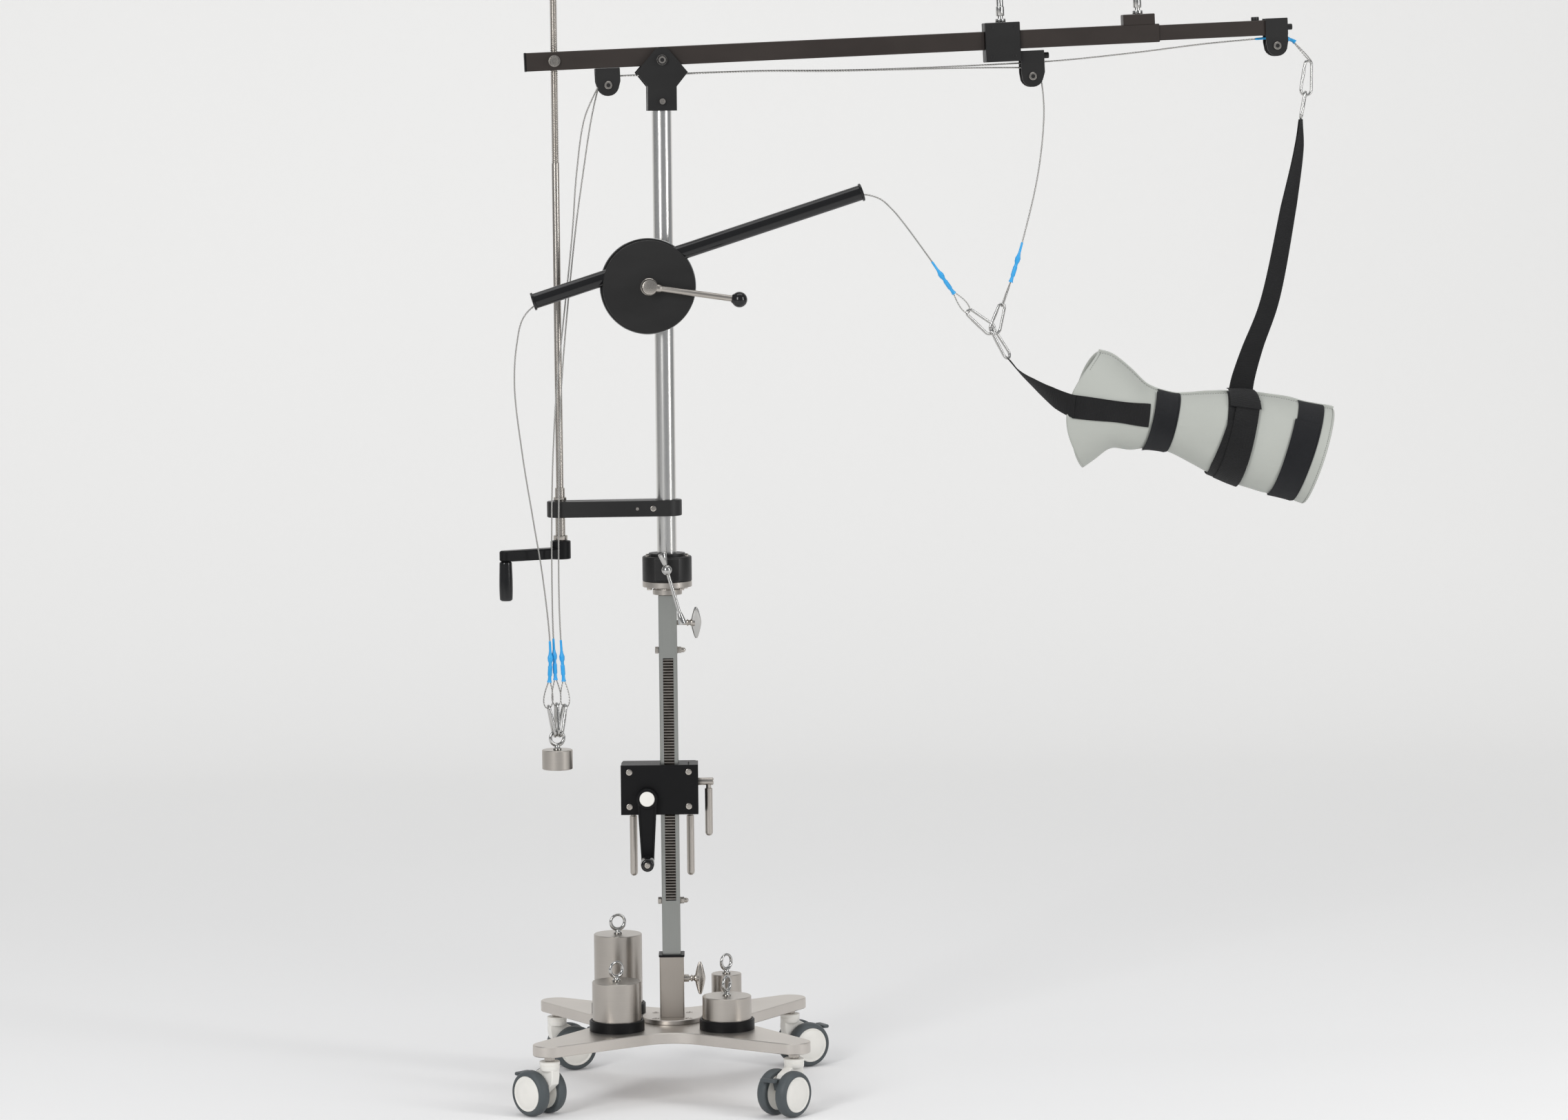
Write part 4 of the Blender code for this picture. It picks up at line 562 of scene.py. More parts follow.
def distance_where(path, axis, value):
    """How far along the path it first passes a value of one coordinate."""
    side = np.sign(path[:, axis] - value)
    k = int(np.argmax(side != side[0]))
    return distances(path)[k]


# Fitting pieces to the frame


def show(piece, body, finish, *nodes):
    """Give a piece its finish, let it ride on its body and stand for the nodes it replaces.

    A piece whose body is None rides on no body.
    """
    piece.data.materials.append(look(finish))
    if body:
        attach(piece, body)
    if nodes:
        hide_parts(*nodes)
    return piece


def dress(finish, *nodes):
    """Give nodes of the CAD model themselves a finish."""
    for name in nodes:
        mesh = NODES[name].data
        mesh.materials.clear()
        mesh.materials.append(look(finish))


def hex_outline(width):
    """Six corners, each the width across flats over the root of 3 from the middle."""
    turn = np.radians(np.arange(0, 360, 60) + 30)
    reach = width / math.sqrt(3)
    return reach * np.column_stack([np.cos(turn), np.sin(turn)])


def axes_about(direction):
    """Three square axes, the third along the direction."""
    first, second = across_of(direction)
    return np.array([first, second, unit(direction)])


def hex_head(name, body, place, direction, width, height):
    """A bolt's hexagon head, with a chamfer of 12% of its height."""
    piece = slab(name, hex_outline(width), 0.0, height, height * 0.12, place, axes_about(direction))
    return show(piece, body, "screw steel")


def socket_screw(name, body, place, direction, radius, height, finish="screw steel"):
    """A cap screw's head with a hexagon socket: a turned rim and a sunken floor."""
    inner = radius * 0.52
    profile = [(radius * 0.96, 0.0), (radius, height * 0.15), (radius, height * 0.85),
               (radius * 0.92, height), (inner, height), (inner * 0.97, height * 0.35)]
    piece = turned(name, profile, place, direction, 24)
    return show(piece, body, finish)


def cap_nut(name, body, place, direction):
    """A hexagon nut under a dome, which is a quarter circle swung round the axis."""
    width = 0.0095
    head = slab(name + "_nut", hex_outline(width), 0.0, 0.0055, 0.0006, place, axes_about(direction))
    show(head, body, "screw steel")
    radius = width * 0.43
    turn = np.linspace(0, 1.48, 8)
    dome = [(radius, 0.0)] + [(radius * math.cos(t), 0.0035 + radius * math.sin(t)) for t in turn]
    cap = turned(name + "_dome", dome, np.asarray(place) + 0.0050 * unit(direction), direction, 32)
    show(cap, body, "screw steel")


def square_tube(name, width, bore, low, high, body, finish, *nodes):
    """A square tube of the stand with round corners: out and in again along one closed profile."""
    half = width / 2
    hole = bore / 2
    outer = rounded(-half, half, -half, half, 0.0022)
    inner = rounded(-hole, hole, -hole, hole, 0.0010)
    return show(bored(name, outer, inner, low, high, axes=STAND_AXES), body, finish, *nodes)


# Stand

# The plate's round tips and hollow sides, and the cups: distances from the middle, radii and thickness
TIP_X = 0.197
TIP_Y = 0.205
TIP_R = 0.027
SIDE_ARC_R = 0.075
FRONT_EDGE = 0.118
SIDE_EDGE = 0.112
PLATE_T = 0.018
CUP_X = 0.090
CUP_Y = 0.082
# Each corner's side along x and along y, and the caster's heading in degrees
CASTERS = {"fl": (-1, -1, 135.0), "fr": (1, -1, -131.0), "rl": (-1, 1, 20.0), "rr": (1, 1, 30.0)}
# The axle's place from a caster's stem, and the wire of an eye bolt's ring
AXLE_X = 0.025
AXLE_Z = -0.0625
EYE_WIRE = 0.0027


def turn_between(centre, other):
    """The heading of one centre from another, and the angle from it to the tangent that crosses between.

    That angle's sine is the sum of both radii over the distance.
    """
    span = other - centre
    return math.atan2(span[1], span[0]), math.asin((SIDE_ARC_R + TIP_R) / np.linalg.norm(span))


def swing(start, end, way):
    """Both angles, the end moved by whole turns until it lies past the start in the given way."""
    while way > 0 and end < start:
        end += TAU
    while way < 0 and end > start:
        end -= TAU
    return start, end


def plate_outline():
    """Four round tips joined to four hollow arcs by their common tangents."""
    tips = [np.array(t) for t in ((TIP_X, -TIP_Y), (TIP_X, TIP_Y), (-TIP_X, TIP_Y), (-TIP_X, -TIP_Y))]
    reach_y = FRONT_EDGE + SIDE_ARC_R
    reach_x = SIDE_EDGE + SIDE_ARC_R
    hollows = [np.array(h) for h in ((0, -reach_y), (reach_x, 0), (0, reach_y), (-reach_x, 0))]
    line = []
    for k in range(4):
        hollow = hollows[k]
        base_a, swing_a = turn_between(hollow, tips[k - 1])
        base_b, swing_b = turn_between(hollow, tips[k])
        start, end = swing(base_a - (math.pi / 2 - swing_a), base_b + (math.pi / 2 - swing_b), -1)
        line.append(arc(*hollow, SIDE_ARC_R, math.degrees(start), math.degrees(end), 20))
        base_a, swing_a = turn_between(hollow, tips[k])
        base_b, swing_b = turn_between(hollows[(k + 1) % 4], tips[k])
        start, end = swing(base_a + (math.pi / 2 - swing_a) + math.pi,
                           base_b - (math.pi / 2 - swing_b) + math.pi, 1)
        if end - start > TAU:
            end -= TAU
        line.append(arc(*tips[k], TIP_R, math.degrees(start), math.degrees(end), 24))
    return np.concatenate(line)


def build_base():
    """The plate, the cups as closed rings, the stem nuts, and the sleeve with its flange and boss."""
    plate = slab("stand_plate", plate_outline(), 0.0, PLATE_T, 0.0012, axes=STAND_AXES)
    show(plate, "base", "plate steel", "base_plate")
    for corner, (side_x, side_y, _) in CASTERS.items():
        outer = 0.030 if corner == "rr" else 0.045
        inner = outer - 0.0045
        cup = [(inner, 0.0001), (outer, 0.0001), (outer, 0.0155), (outer - 0.0012, 0.0170),
               (inner + 0.0008, 0.0170), (inner, 0.0160)]
        cup = [(r, PLATE_T + rise) for r, rise in cup]
        place = on_stand(side_x * CUP_X, side_y * CUP_Y, 0)
        ring = turned("weight_cup_" + corner, cup, place, sides=72, ring=True)
        show(ring, "base", "black moulded", "base_plate")
        stem = slab("stem_nut_" + corner, hex_outline(0.0165), -0.0085, -0.0002, 0.0006,
                    on_stand(side_x * TIP_X, side_y * TIP_Y, 0))
        show(stem, "base", "screw steel", "base_plate")
    flange = [(0.0495, PLATE_T + 0.0003), (0.0500, PLATE_T + 0.0008), (0.0500, 0.0252), (0.0492, 0.0260)]
    show(turned("sleeve_flange", flange, sides=96), "base", "plate steel", "sleeve_post")
    square_tube("sleeve_tube", 0.0400, 0.0314, 0.0258, 0.1265, "base", "sleeve steel", "sleeve_post")
    square_tube("sleeve_rim", 0.0425, 0.0314, 0.1265, 0.1300, "base", "black moulded", "sleeve_post")
    boss = [(0.0062, 0.0190), (0.0062, 0.0272), (0.0056, 0.0280)]
    show(turned("sleeve_boss", boss, (0, 0, 0.088), STAND_AXES[0], 32), "base", "screw steel",
         "sleeve_post")
    for k in range(4):
        place = round_axis(0.039, 45 + 90 * k, 0.0258)
        head = [(0.0060, 0.0), (0.0060, 0.0005), (0.0050, 0.0009), (0.0026, 0.0009), (0.0024, 0.0002)]
        show(turned("flange_screw_%d" % k, head, place, sides=28), "base", "screw steel")


def wing_screw(name, body, z, tip, tilt, node):
    """A thumb screw: a turned shaft and a wing.

    The wing's width is the root of 1 less its rise to the power 1.7, and its bulge shrinks as it rises.
    """
    wing = 0.0465
    shaft = [(0.0034, tip + 0.001), (0.0040, tip + 0.002), (0.0040, 0.0312), (0.0056, 0.0318),
             (0.0058, 0.0330), (0.0042, 0.0345), (0.0042, 0.0360), (0.0058, 0.0380), (0.0062, 0.0400),
             (0.0060, wing - 0.002)]
    show(turned(name + "_screw", shaft, (0, 0, z), STAND_AXES[0], 32), body, "screw steel", node)
    turn = np.linspace(0, TAU, 48, endpoint=False)
    rise = np.linspace(-1, 1, 40)[1:-1]
    width = np.sqrt(1 - np.abs(rise) ** 1.7)
    bulge = 0.0088 - 0.0028 * np.abs(rise)
    points = np.stack([(width * bulge)[:, None] * np.cos(turn), 0.0042 * width[:, None] * np.sin(turn),
                       np.broadcast_to(0.0285 * rise[:, None], (len(rise), len(turn)))], -1)
    lean = np.array(Matrix.Rotation(tilt, 3, "X") @ Matrix.Rotation(math.radians(6), 3, "Z"))
    points = points @ lean.T @ STAND_AXES + on_stand(wing, 0, z)
    piece = grid_mesh(name + "_wing", points)
    show(piece, body, "polished steel" if tilt else "screw steel", node)


def eye_weight(name, body, centre, radius, height, node, turn=0.4, ring_r=0.0120):
    """A turned steel weight with an eye bolt: a collar and a forged ring that swells towards its foot."""
    edge = 0.0009
    body_line = [(radius - edge, 0.0), (radius, edge), (radius, height - edge), (radius - edge, height)]
    show(turned(name + "_body", body_line, centre, sides=96), body, "turned steel", node)
    top = np.asarray(centre) + (0, 0, height)
    collar = [(0.0068, -0.0002), (0.0070, 0.0006), (0.0070, 0.0022), (0.0052, 0.0034), (0.0042, 0.0050),
              (0.0040, 0.0072)]
    show(turned(name + "_collar", collar, top, sides=36), body, "polished steel", node)
    angle = np.linspace(0, TAU, 48, endpoint=False)
    side = np.array((math.cos(turn), math.sin(turn), 0.0))
    path = top + (0, 0, 0.0075 + ring_r) + ring_r * (np.outer(np.sin(angle), side)
                                                    - np.outer(np.cos(angle), (0, 0, 1)))
    wire = EYE_WIRE + 0.0005 * np.cos(angle)
    ring = swept(name + "_eye", path, wire, True, 16, (math.sin(turn), -math.cos(turn), 0))
    show(ring, body, "polished steel", node)


def build_weights():
    """The four stored weights: label, sides of the plate, radius, height and turn of the eye."""
    low = PLATE_T + 0.0004
    rows = (("5", -1, 1, 0.0400, 0.132, 0.25), ("3", -1, -1, 0.0400, 0.080, 0.55),
            ("2", 1, -1, 0.0400, 0.054, 1.0), ("1", 1, 1, 0.0250, 0.063, 0.75))
    for label, side_x, side_y, radius, height, turn in rows:
        eye_weight("weight_" + label, "weight_" + label, on_stand(side_x * CUP_X, side_y * CUP_Y, low),
                   radius, height, "weight_%skg" % label, turn)


def build_casters():
    """One caster under each tip of the plate, at its own heading."""
    for corner, (side_x, side_y, heading) in CASTERS.items():
        build_caster(corner, on_stand(side_x * TIP_X, side_y * TIP_Y, 0), math.radians(heading) + STAND_YAW)


def build_caster(corner, stem, heading):
    """A swivel caster: x runs from the stem towards the axle, y along the axle."""
    body = "caster_" + corner
    node = "caster_fork_" + corner
    axes = turned_axes(heading)
    upright = np.array([axes[0], axes[2], -axes[1]])
    neck = [(0.0150, -0.0240), (0.0160, -0.0225), (0.0163, -0.0160), (0.0157, -0.0156), (0.0157, -0.0150),
            (0.0165, -0.0146), (0.0165, -0.0100), (0.0152, -0.0092)]
    show(turned("neck_" + corner, neck, stem, sides=56), body, "white moulded", node)
    side = np.concatenate([[(-0.0140, -0.0215), (-0.0152, -0.0320), (-0.0125, -0.0460)],
                           arc(AXLE_X, AXLE_Z, 0.0115, 215, 375, 14),
                           [(0.0400, -0.0460), (0.0330, -0.0320), (0.0135, -0.0215)]])
    web = slab("web_" + corner, side, -0.0085, 0.0085, 0.0016, stem, upright)
    show(web, body, "white moulded", node)
    lever = np.array([(0.0350, -0.0560), (0.0360, -0.0380), (0.0590, -0.0345), (0.0600, -0.0385),
                      (0.0470, -0.0440), (0.0440, -0.0560)])
    show(slab("pedal_arm_" + corner, lever, -0.0060, 0.0060, 0.0012, stem, upright), body, "tyre", node)
    foot = rounded(0.0575, 0.0692, -0.0150, 0.0150, 0.0035)
    show(slab("pedal_" + corner, foot, -0.0392, -0.0340, 0.0012, stem, axes), body, "tyre", node)
    hub = stem + np.array((AXLE_X, 0, AXLE_Z)) @ axes
    wheels = "wheels_" + corner
    wheel_node = "caster_wheels_" + corner
    for label, way in (("a", 1.0), ("b", -1.0)):
        tyre = [(0.0290, 0.0105), (0.0345, 0.0104), (0.0362, 0.0116), (0.0372, 0.0140), (0.0375, 0.0185),
                (0.0370, 0.0230), (0.0357, 0.0264), (0.0338, 0.0286), (0.0315, 0.0297), (0.0295, 0.0298),
                (0.0290, 0.0290)]
        tread = turned("tyre_%s_%s" % (corner, label), tyre, hub, way * axes[1], 80, ring=True)
        show(tread, wheels, "tyre", wheel_node)
        disc = [(0.0285, 0.0106), (0.0289, 0.0120), (0.0289, 0.0284), (0.0283, 0.0291), (0.0262, 0.0292),
                (0.0255, 0.0286), (0.0246, 0.0286), (0.0240, 0.0290), (0.0120, 0.0294)]
        show(turned("disc_%s_%s" % (corner, label), disc, hub, way * axes[1], 80), wheels, "white moulded",
             wheel_node)
    axle = [(0.0040, -0.0120), (0.0040, 0.0120)]
    show(turned("axle_" + corner, axle, hub, axes[1], 24), wheels, "screw steel", wheel_node)


def build_column():
    """The column with its rack and two bolts, the head's disc and hub, and both wing screws."""
    dress("column steel", "column_tube")
    dress("rack steel", "rack")
    for label, z in (("low", 0.218), ("high", 0.633)):
        hex_head("column_bolt_" + label, "column", on_stand(-0.0152, 0, z), -STAND_AXES[0], 0.0100, 0.0062)
        washer = [(0.0058, 0.0), (0.0060, 0.0006), (0.0058, 0.0012)]
        show(turned("column_washer_" + label, washer, on_stand(0.0151, 0, z), STAND_AXES[0], 32), "column",
             "screw steel")
        cap_nut("column_bolt_" + label, "column", on_stand(0.0163, 0, z), STAND_AXES[0])
    flange = [(0.0115, 0.6400), (0.0115, 0.7253), (0.0236, 0.7253), (0.0240, 0.7257), (0.0240, 0.7336),
              (0.0200, 0.7340), (0.0200, 0.7380), (0.0400, 0.7380), (0.0405, 0.7385), (0.0405, 0.7468),
              (0.0400, 0.7474)]
    show(turned("head_disc", flange, sides=96), "column", "turned steel", "head_flange")
    for k in range(6):
        place = round_axis(0.0310, 60 * k + 20, 0.7379)
        socket_screw("head_screw_%d" % k, "column", place, (0, 0, -1), 0.0042, 0.0046)
    hub = [(0.0400, 0.7480), (0.0405, 0.7486), (0.0405, 0.7862), (0.0396, 0.7878), (0.0385, 0.7884),
           (0.0300, 0.7884), (0.0300, 0.7930), (0.0296, 0.7934), (0.0168, 0.7934)]
    show(turned("hub_drum", hub, sides=96), "column", "black anodised", "head_hub")
    boss = slab("hub_boss", rounded(-0.0200, 0.0200, -0.0480, -0.0300, 0.0015), 0.7510, 0.7868, 0.0012,
                axes=STAND_AXES)
    show(boss, "column", "black anodised", "head_hub")
    for k, turn in enumerate((25, 65, 115, 155, 205, 335)):
        place = round_axis(0.0350, turn, 0.7880)
        socket_screw("hub_screw_%d" % k, "column", place, (0, 0, 1), 0.0032, 0.0024)
    wing_screw("base_wing", "base_screw", 0.088, 0.0157, 0.0, "base_wing_screw")
    wing_screw("head_wing", "head_screw", 0.678, 0.0122, 0.25, "head_wing_screw")


def build_swivel_clamp():
    """The ball-ended clamping screw in the hub and the bar that slides through its ball."""
    centre = on_stand(0, -0.0655, 0.7707)
    front = -STAND_AXES[1]
    show(turned("clamp_ball", ball_profile(0.0086), centre, front, 48), "swivel_clamp", "polished steel",
         "clamp_screw")
    shaft = [(0.0050, -0.0480), (0.0050, -0.0170), (0.0066, -0.0166), (0.0068, -0.0120), (0.0064, -0.0112),
             (0.0048, -0.0104), (0.0048, -0.0070)]
    show(turned("clamp_shaft", shaft, centre, front, 40), "swivel_clamp", "polished steel", "clamp_screw")
    tilt = math.radians(15.8)
    down = np.array((math.sin(tilt), 0.0, -math.cos(tilt))) @ STAND_AXES
    top = -0.0280
    end = 0.0920
    bar = [(0.0054, top), (0.0068, top + 0.0008), (0.0070, top + 0.0020), (0.0054, top + 0.0120),
           (0.0040, top + 0.0188), (0.0030, top + 0.0192), (0.0030, end - 0.0192), (0.0040, end - 0.0188),
           (0.0054, end - 0.0120), (0.0070, end - 0.0020), (0.0068, end - 0.0008), (0.0054, end)]
    show(turned("sliding_bar_rod", bar, centre, down, 40), "sliding_bar", "polished steel", "tommy_bar")


# How far a crank's grip lies from its hub, the radius of a lever's rod, and the profile of a grip's foot
CRANK_REACH = 0.102
LEVER_R = 0.0062
GRIP_FOOT = [(0.0038, -0.0118), (0.0038, 0.0000), (0.0084, 0.0002), (0.0100, 0.0012), (0.0103, 0.0030)]


def crank_line(hub_r, end_r):
    """A tapering arm that hangs down: half circles at hub and foot, and straight sides between them."""
    bend = -CRANK_REACH * 0.9
    return np.concatenate([arc(0, 0, hub_r, 180, 0), [(end_r + 0.0004, bend)],
                           arc(0, -CRANK_REACH, end_r, 0, -180), [(-end_r - 0.0004, bend)]])


def grip_line(length):
    """A handle: a sine of its length to the power 1.4 swells it, and its end is chamfered and hollow."""
    rise = np.linspace(0.06, 0.96, 24)
    swell = 0.0103 + 0.0008 * np.sin(math.pi * rise ** 1.4)
    body = list(zip(swell, rise * length))
    end = [(0.0094, length * 0.985), (0.0080, length), (0.0055, length), (0.0050, length - 0.0012)]
    return GRIP_FOOT + body + end


def round_end(length):
    """A rod's round end: a quarter circle whose top lies at the rod's length."""
    centre = length - LEVER_R
    return [(LEVER_R * math.cos(t), centre + LEVER_R * math.sin(t)) for t in np.linspace(0, 1.5, 8)]


def lever_line(length):
    """A clamping lever: screw, head, slotted neck and a long rod with a round end."""
    head = [(0.0040, -0.0215), (0.0040, 0.0), (0.0060, 0.0003), (LEVER_R, 0.0010), (LEVER_R, 0.0150)]
    neck = [(0.0056, 0.0158), (0.0042, 0.0162), (0.0042, 0.0180), (0.0056, 0.0184), (LEVER_R, 0.0192)]
    return head + neck + round_end(length)


def build_lift():
    """The lift box with its L-shaped cover plate and four screws, the crank, and the clamping levers."""
    dress("black moulded", "lift_box")
    left, right, wing = -0.0800, 0.0470, 0.0322
    front, back, rear = -0.0262, -0.0228, 0.0300
    cover = ((left, front), (right, front), (right, rear), (wing, rear), (wing, back), (left, back))
    show(slab("lift_cover", cover, 0.3640, 0.4460, 0.0006, axes=STAND_AXES), "lift", "black moulded")
    places = ((-0.0660, 0.4345), (0.0315, 0.4345), (-0.0660, 0.3775), (0.0315, 0.3775))
    for k, (x, z) in enumerate(places):
        socket_screw("lift_screw_%d" % k, "lift", on_stand(x, front, z), -STAND_AXES[1], 0.0050, 0.0012)
    crank_axes = np.array([STAND_AXES[0], STAND_AXES[2], -STAND_AXES[1]])
    origin = on_stand(-0.0370, -0.0233, 0.392)
    hub = [(0.0050, -0.0175), (0.0050, 0.0032), (0.0166, 0.0032), (0.0172, 0.0038), (0.0172, 0.0170),
           (0.0162, 0.0182), (0.0130, 0.0184), (0.0127, 0.0176)]
    show(turned("lift_crank_hub", hub, origin, crank_axes[2], 64), "crank", "black moulded", "lift_crank")
    cap = [(0.0122, 0.0168), (0.0123, 0.0190), (0.0115, 0.0200), (0.0070, 0.0203)]
    show(turned("lift_crank_cap", cap, origin, crank_axes[2], 56), "crank", "white moulded", "lift_crank")
    arm = slab("lift_crank_arm", crank_line(0.0162, 0.0106), 0.0076, 0.0165, 0.0014, origin, crank_axes,
               (0.0034, 0.0009))
    show(arm, "crank", "black moulded", "lift_crank")
    foot = origin + np.array((0, -CRANK_REACH, 0.0168)) @ crank_axes
    show(turned("lift_grip", grip_line(0.055), foot, crank_axes[2], 56), "crank_grip", "gloss black",
         "lift_crank_grip")
    end = foot + 0.0538 * crank_axes[2]
    socket_screw("lift_grip_screw", "crank_grip", end, crank_axes[2], 0.0046, 0.0014)
    down = (0, 0, -1)
    for label, x in (("left", -0.0610), ("right", 0.0331)):
        place = on_stand(x, 0.046, 0.3717)
        lever = turned("rail_lever_%s_rod" % label, lever_line(0.119), place, down, 48)
        show(lever, "rail_clamp_" + label, "turned steel", "rail_lever_" + label)
    start = on_stand(0.0443, 0.008, 0.414)
    head = [(0.0040, -0.0275), (0.0040, 0.0), (0.0060, 0.0003), (LEVER_R, 0.0010), (LEVER_R, 0.0262),
            (0.0056, 0.0276), (0.0046, 0.0280)]
    show(turned("lock_lever_head", head, start, STAND_AXES[0], 48), "column_lock", "turned steel",
         "column_lock_lever")
    bar = [(0.0042, 0.0), (0.0042, 0.0110), (0.0056, 0.0112), (LEVER_R, 0.0120)] + round_end(0.0905)
    show(turned("lock_lever_rod", bar, on_stand(0.064, 0.008, 0.414), down, 48), "column_lock",
         "turned steel", "column_lock_lever")


# Mast

# The tilt screw's axis, where its crank points, the middle of the disc joint, the guide tube's two ends and
# both faces of the arm that holds the screw
SCREW_X = -0.174
TILT_CRANK_ANGLE = math.radians(206.0)
DISC_X = -0.029
DISC_Z = 1.232
GUIDE_LEFT = np.array((-0.2170, -0.066, 1.2095))
GUIDE_RIGHT = np.array((0.3206, -0.066, 1.3805))
SCREW_ARM_LOW = 0.855
SCREW_ARM_HIGH = 0.881


def build_mast():
    """The pole, the screw arm, the head bracket with its bolts, and what is clamped to the pole."""
    pole = [(0.0155, 0.7520), (0.0160, 0.7525), (0.0160, 1.5520), (0.0155, 1.5525)]
    # The pole's finish carries painted brightness in its colour, standing in for its bright reflections.
    show(turned("pole", pole, sides=96), "mast", "upright steel", "mast_pole")
    outline = np.concatenate([arc(0, 0, 0.0255, -80, 80, 32), arc(SCREW_X, 0, 0.0215, 100, 260, 32)])
    arm = slab("screw_arm", outline, SCREW_ARM_LOW, SCREW_ARM_HIGH, 0.0010)
    show(arm, "mast", "black anodised", "clamp_arm")
    for label, x, radius in (("a", -0.0490, 0.0026), ("b", -0.0230, 0.0046)):
        y = -0.0215 - (x - SCREW_X) / abs(SCREW_X) * 0.0040
        socket_screw("arm_screw_" + label, "mast", (x, y + 0.0004, 0.868), (0, -1, 0), radius, 0.0012)
    for label, z, way in (("top", SCREW_ARM_HIGH, 1), ("low", SCREW_ARM_LOW, -1)):
        lip = [(0.0182, 0.0), (0.0182, 0.0004), (0.0166, 0.0004)]
        show(turned("arm_lip_" + label, lip, (0, 0, z), (0, 0, way), 72), "mast", "black anodised")
    dress("black anodised", "head_bracket")
    for label, way in SIDES:
        head = [(0.0082, 0.0236), (0.0084, 0.0242), (0.0084, 0.0252)]
        show(turned("pivot_washer_" + label, head, (0, 0, PIVOT_Z), (0, way, 0), 40), "mast", "screw steel")
        socket_screw("pivot_bolt_" + label, "mast", (0, way * 0.0250, PIVOT_Z), (0, way, 0), 0.0064, 0.0056)
        place = (0, way * 0.0240, 1.5300)
        socket_screw("bracket_bolt_" + label, "mast", place, (0, way, 0), 0.0052, 0.0046)
    build_disc_joint()
    build_guide_tube()


def build_disc_joint():
    """The rear disc with its rim, spacer, neck and collar, and the clamp disc with its ball lever."""
    centre = np.array((DISC_X, 0.0, DISC_Z))
    front = (0, -1, 0)
    rear = [(0.0010, 0.0495), (0.0766, 0.0495), (0.0775, 0.0503), (0.0775, 0.0517), (0.0766, 0.0525)]
    show(turned("rear_disc", rear, centre, front, 128), "mast", "black anodised", "disc_mount")
    rim = [(0.0768, 0.0494), (0.0778, 0.0494), (0.0782, 0.0498), (0.0782, 0.0522), (0.0778, 0.0526),
           (0.0768, 0.0526)]
    show(turned("rear_disc_rim", rim, centre, front, 128, ring=True), "mast", "polished steel",
         "disc_mount")
    spacer = [(0.0220, 0.0520), (0.0222, 0.0524), (0.0222, 0.0792)]
    show(turned("disc_spacer", spacer, centre, front, 72), "mast", "black anodised", "disc_mount")
    neck = slab("disc_neck", rounded(DISC_X - 0.013, -0.006, -0.0500, -0.0185, 0.0015), DISC_Z - 0.016,
                DISC_Z + 0.016, 0.0010)
    show(neck, "mast", "black anodised", "disc_mount")
    collar = [(0.0163, -0.0170), (0.0256, -0.0170), (0.0265, -0.0162), (0.0265, 0.0162), (0.0256, 0.0170),
              (0.0163, 0.0170)]
    show(turned("disc_collar", collar, (0, 0, DISC_Z), sides=80, ring=True), "mast", "black anodised",
         "disc_mount")
    disc = [(0.0742, 0.0796), (0.0750, 0.0803), (0.0750, 0.0836), (0.0740, 0.0845), (0.0155, 0.0845)]
    show(turned("front_disc", disc, centre, front, 128), "disc_clamp", "black anodised", "clamp_disc")
    boss = [(0.0140, 0.0842), (0.0140, 0.0860), (0.0128, 0.0872), (0.0128, 0.1020), (0.0120, 0.1040),
            (0.0100, 0.1046)]
    show(turned("disc_boss", boss, centre, front, 64), "disc_clamp", "screw steel", "clamp_disc")
    lever_y = -0.0975
    start = np.array((DISC_X, lever_y, DISC_Z))
    ball = np.array((0.1160, lever_y, 1.2100))
    way = unit(ball - start)
    reach = float(np.linalg.norm(ball - start))
    rod = [(0.0066, 0.0100), (0.0068, 0.0140), (0.0060, 0.0180), (0.0050, 0.0200), (0.0050, reach - 0.0100)]
    show(turned("disc_lever", rod, start, way, 40), "disc_clamp", "turned steel", "clamp_disc")
    knob = [(0.0062, -0.0128)] + ball_profile(0.0128)[3:]
    show(turned("disc_lever_ball", knob, ball, way, 56), "disc_clamp", "gloss black", "clamp_disc")


def build_guide_tube():
    """The tube that leads cord a: a rim at one end, and its mirror image at the other."""
    length = float(np.linalg.norm(GUIDE_RIGHT - GUIDE_LEFT))
    rim = [(0.0095, 0.0006), (0.0101, 0.0), (0.0140, 0.0), (0.0147, 0.0006), (0.0148, 0.0030),
           (0.0142, 0.0038), (0.0125, 0.0042)]
    line = rim + [(radius, length - along) for radius, along in reversed(rim)]
    piece = turned("lead_tube", line, GUIDE_LEFT, GUIDE_RIGHT - GUIDE_LEFT, 64, ring=True)
    show(piece, "mast", "gloss black", "guide_tube")


def thread_surface(name, origin, low, high, outer, depth, pitch):
    """A trapezoid thread: its phase is the height over the pitch less the turns.

    The radius drops by the depth where the phase is far from a half, with straight flanks.
    """
    z = np.arange(low, high, pitch / 8)
    turn = np.linspace(0, TAU, 24, endpoint=False)
    phase = np.mod((z[:, None] - pitch * turn[None, :] / TAU) / pitch, 1.0)
    wave = np.clip(np.abs(phase - 0.5) * 8 - 1.3, 0, 1)
    radius = outer - depth * wave
    height = np.broadcast_to(z[:, None], radius.shape)
    points = np.stack([radius * np.cos(turn), radius * np.sin(turn), height], -1)
    return grid_mesh(name, points + np.asarray(origin), sharp=40.0)


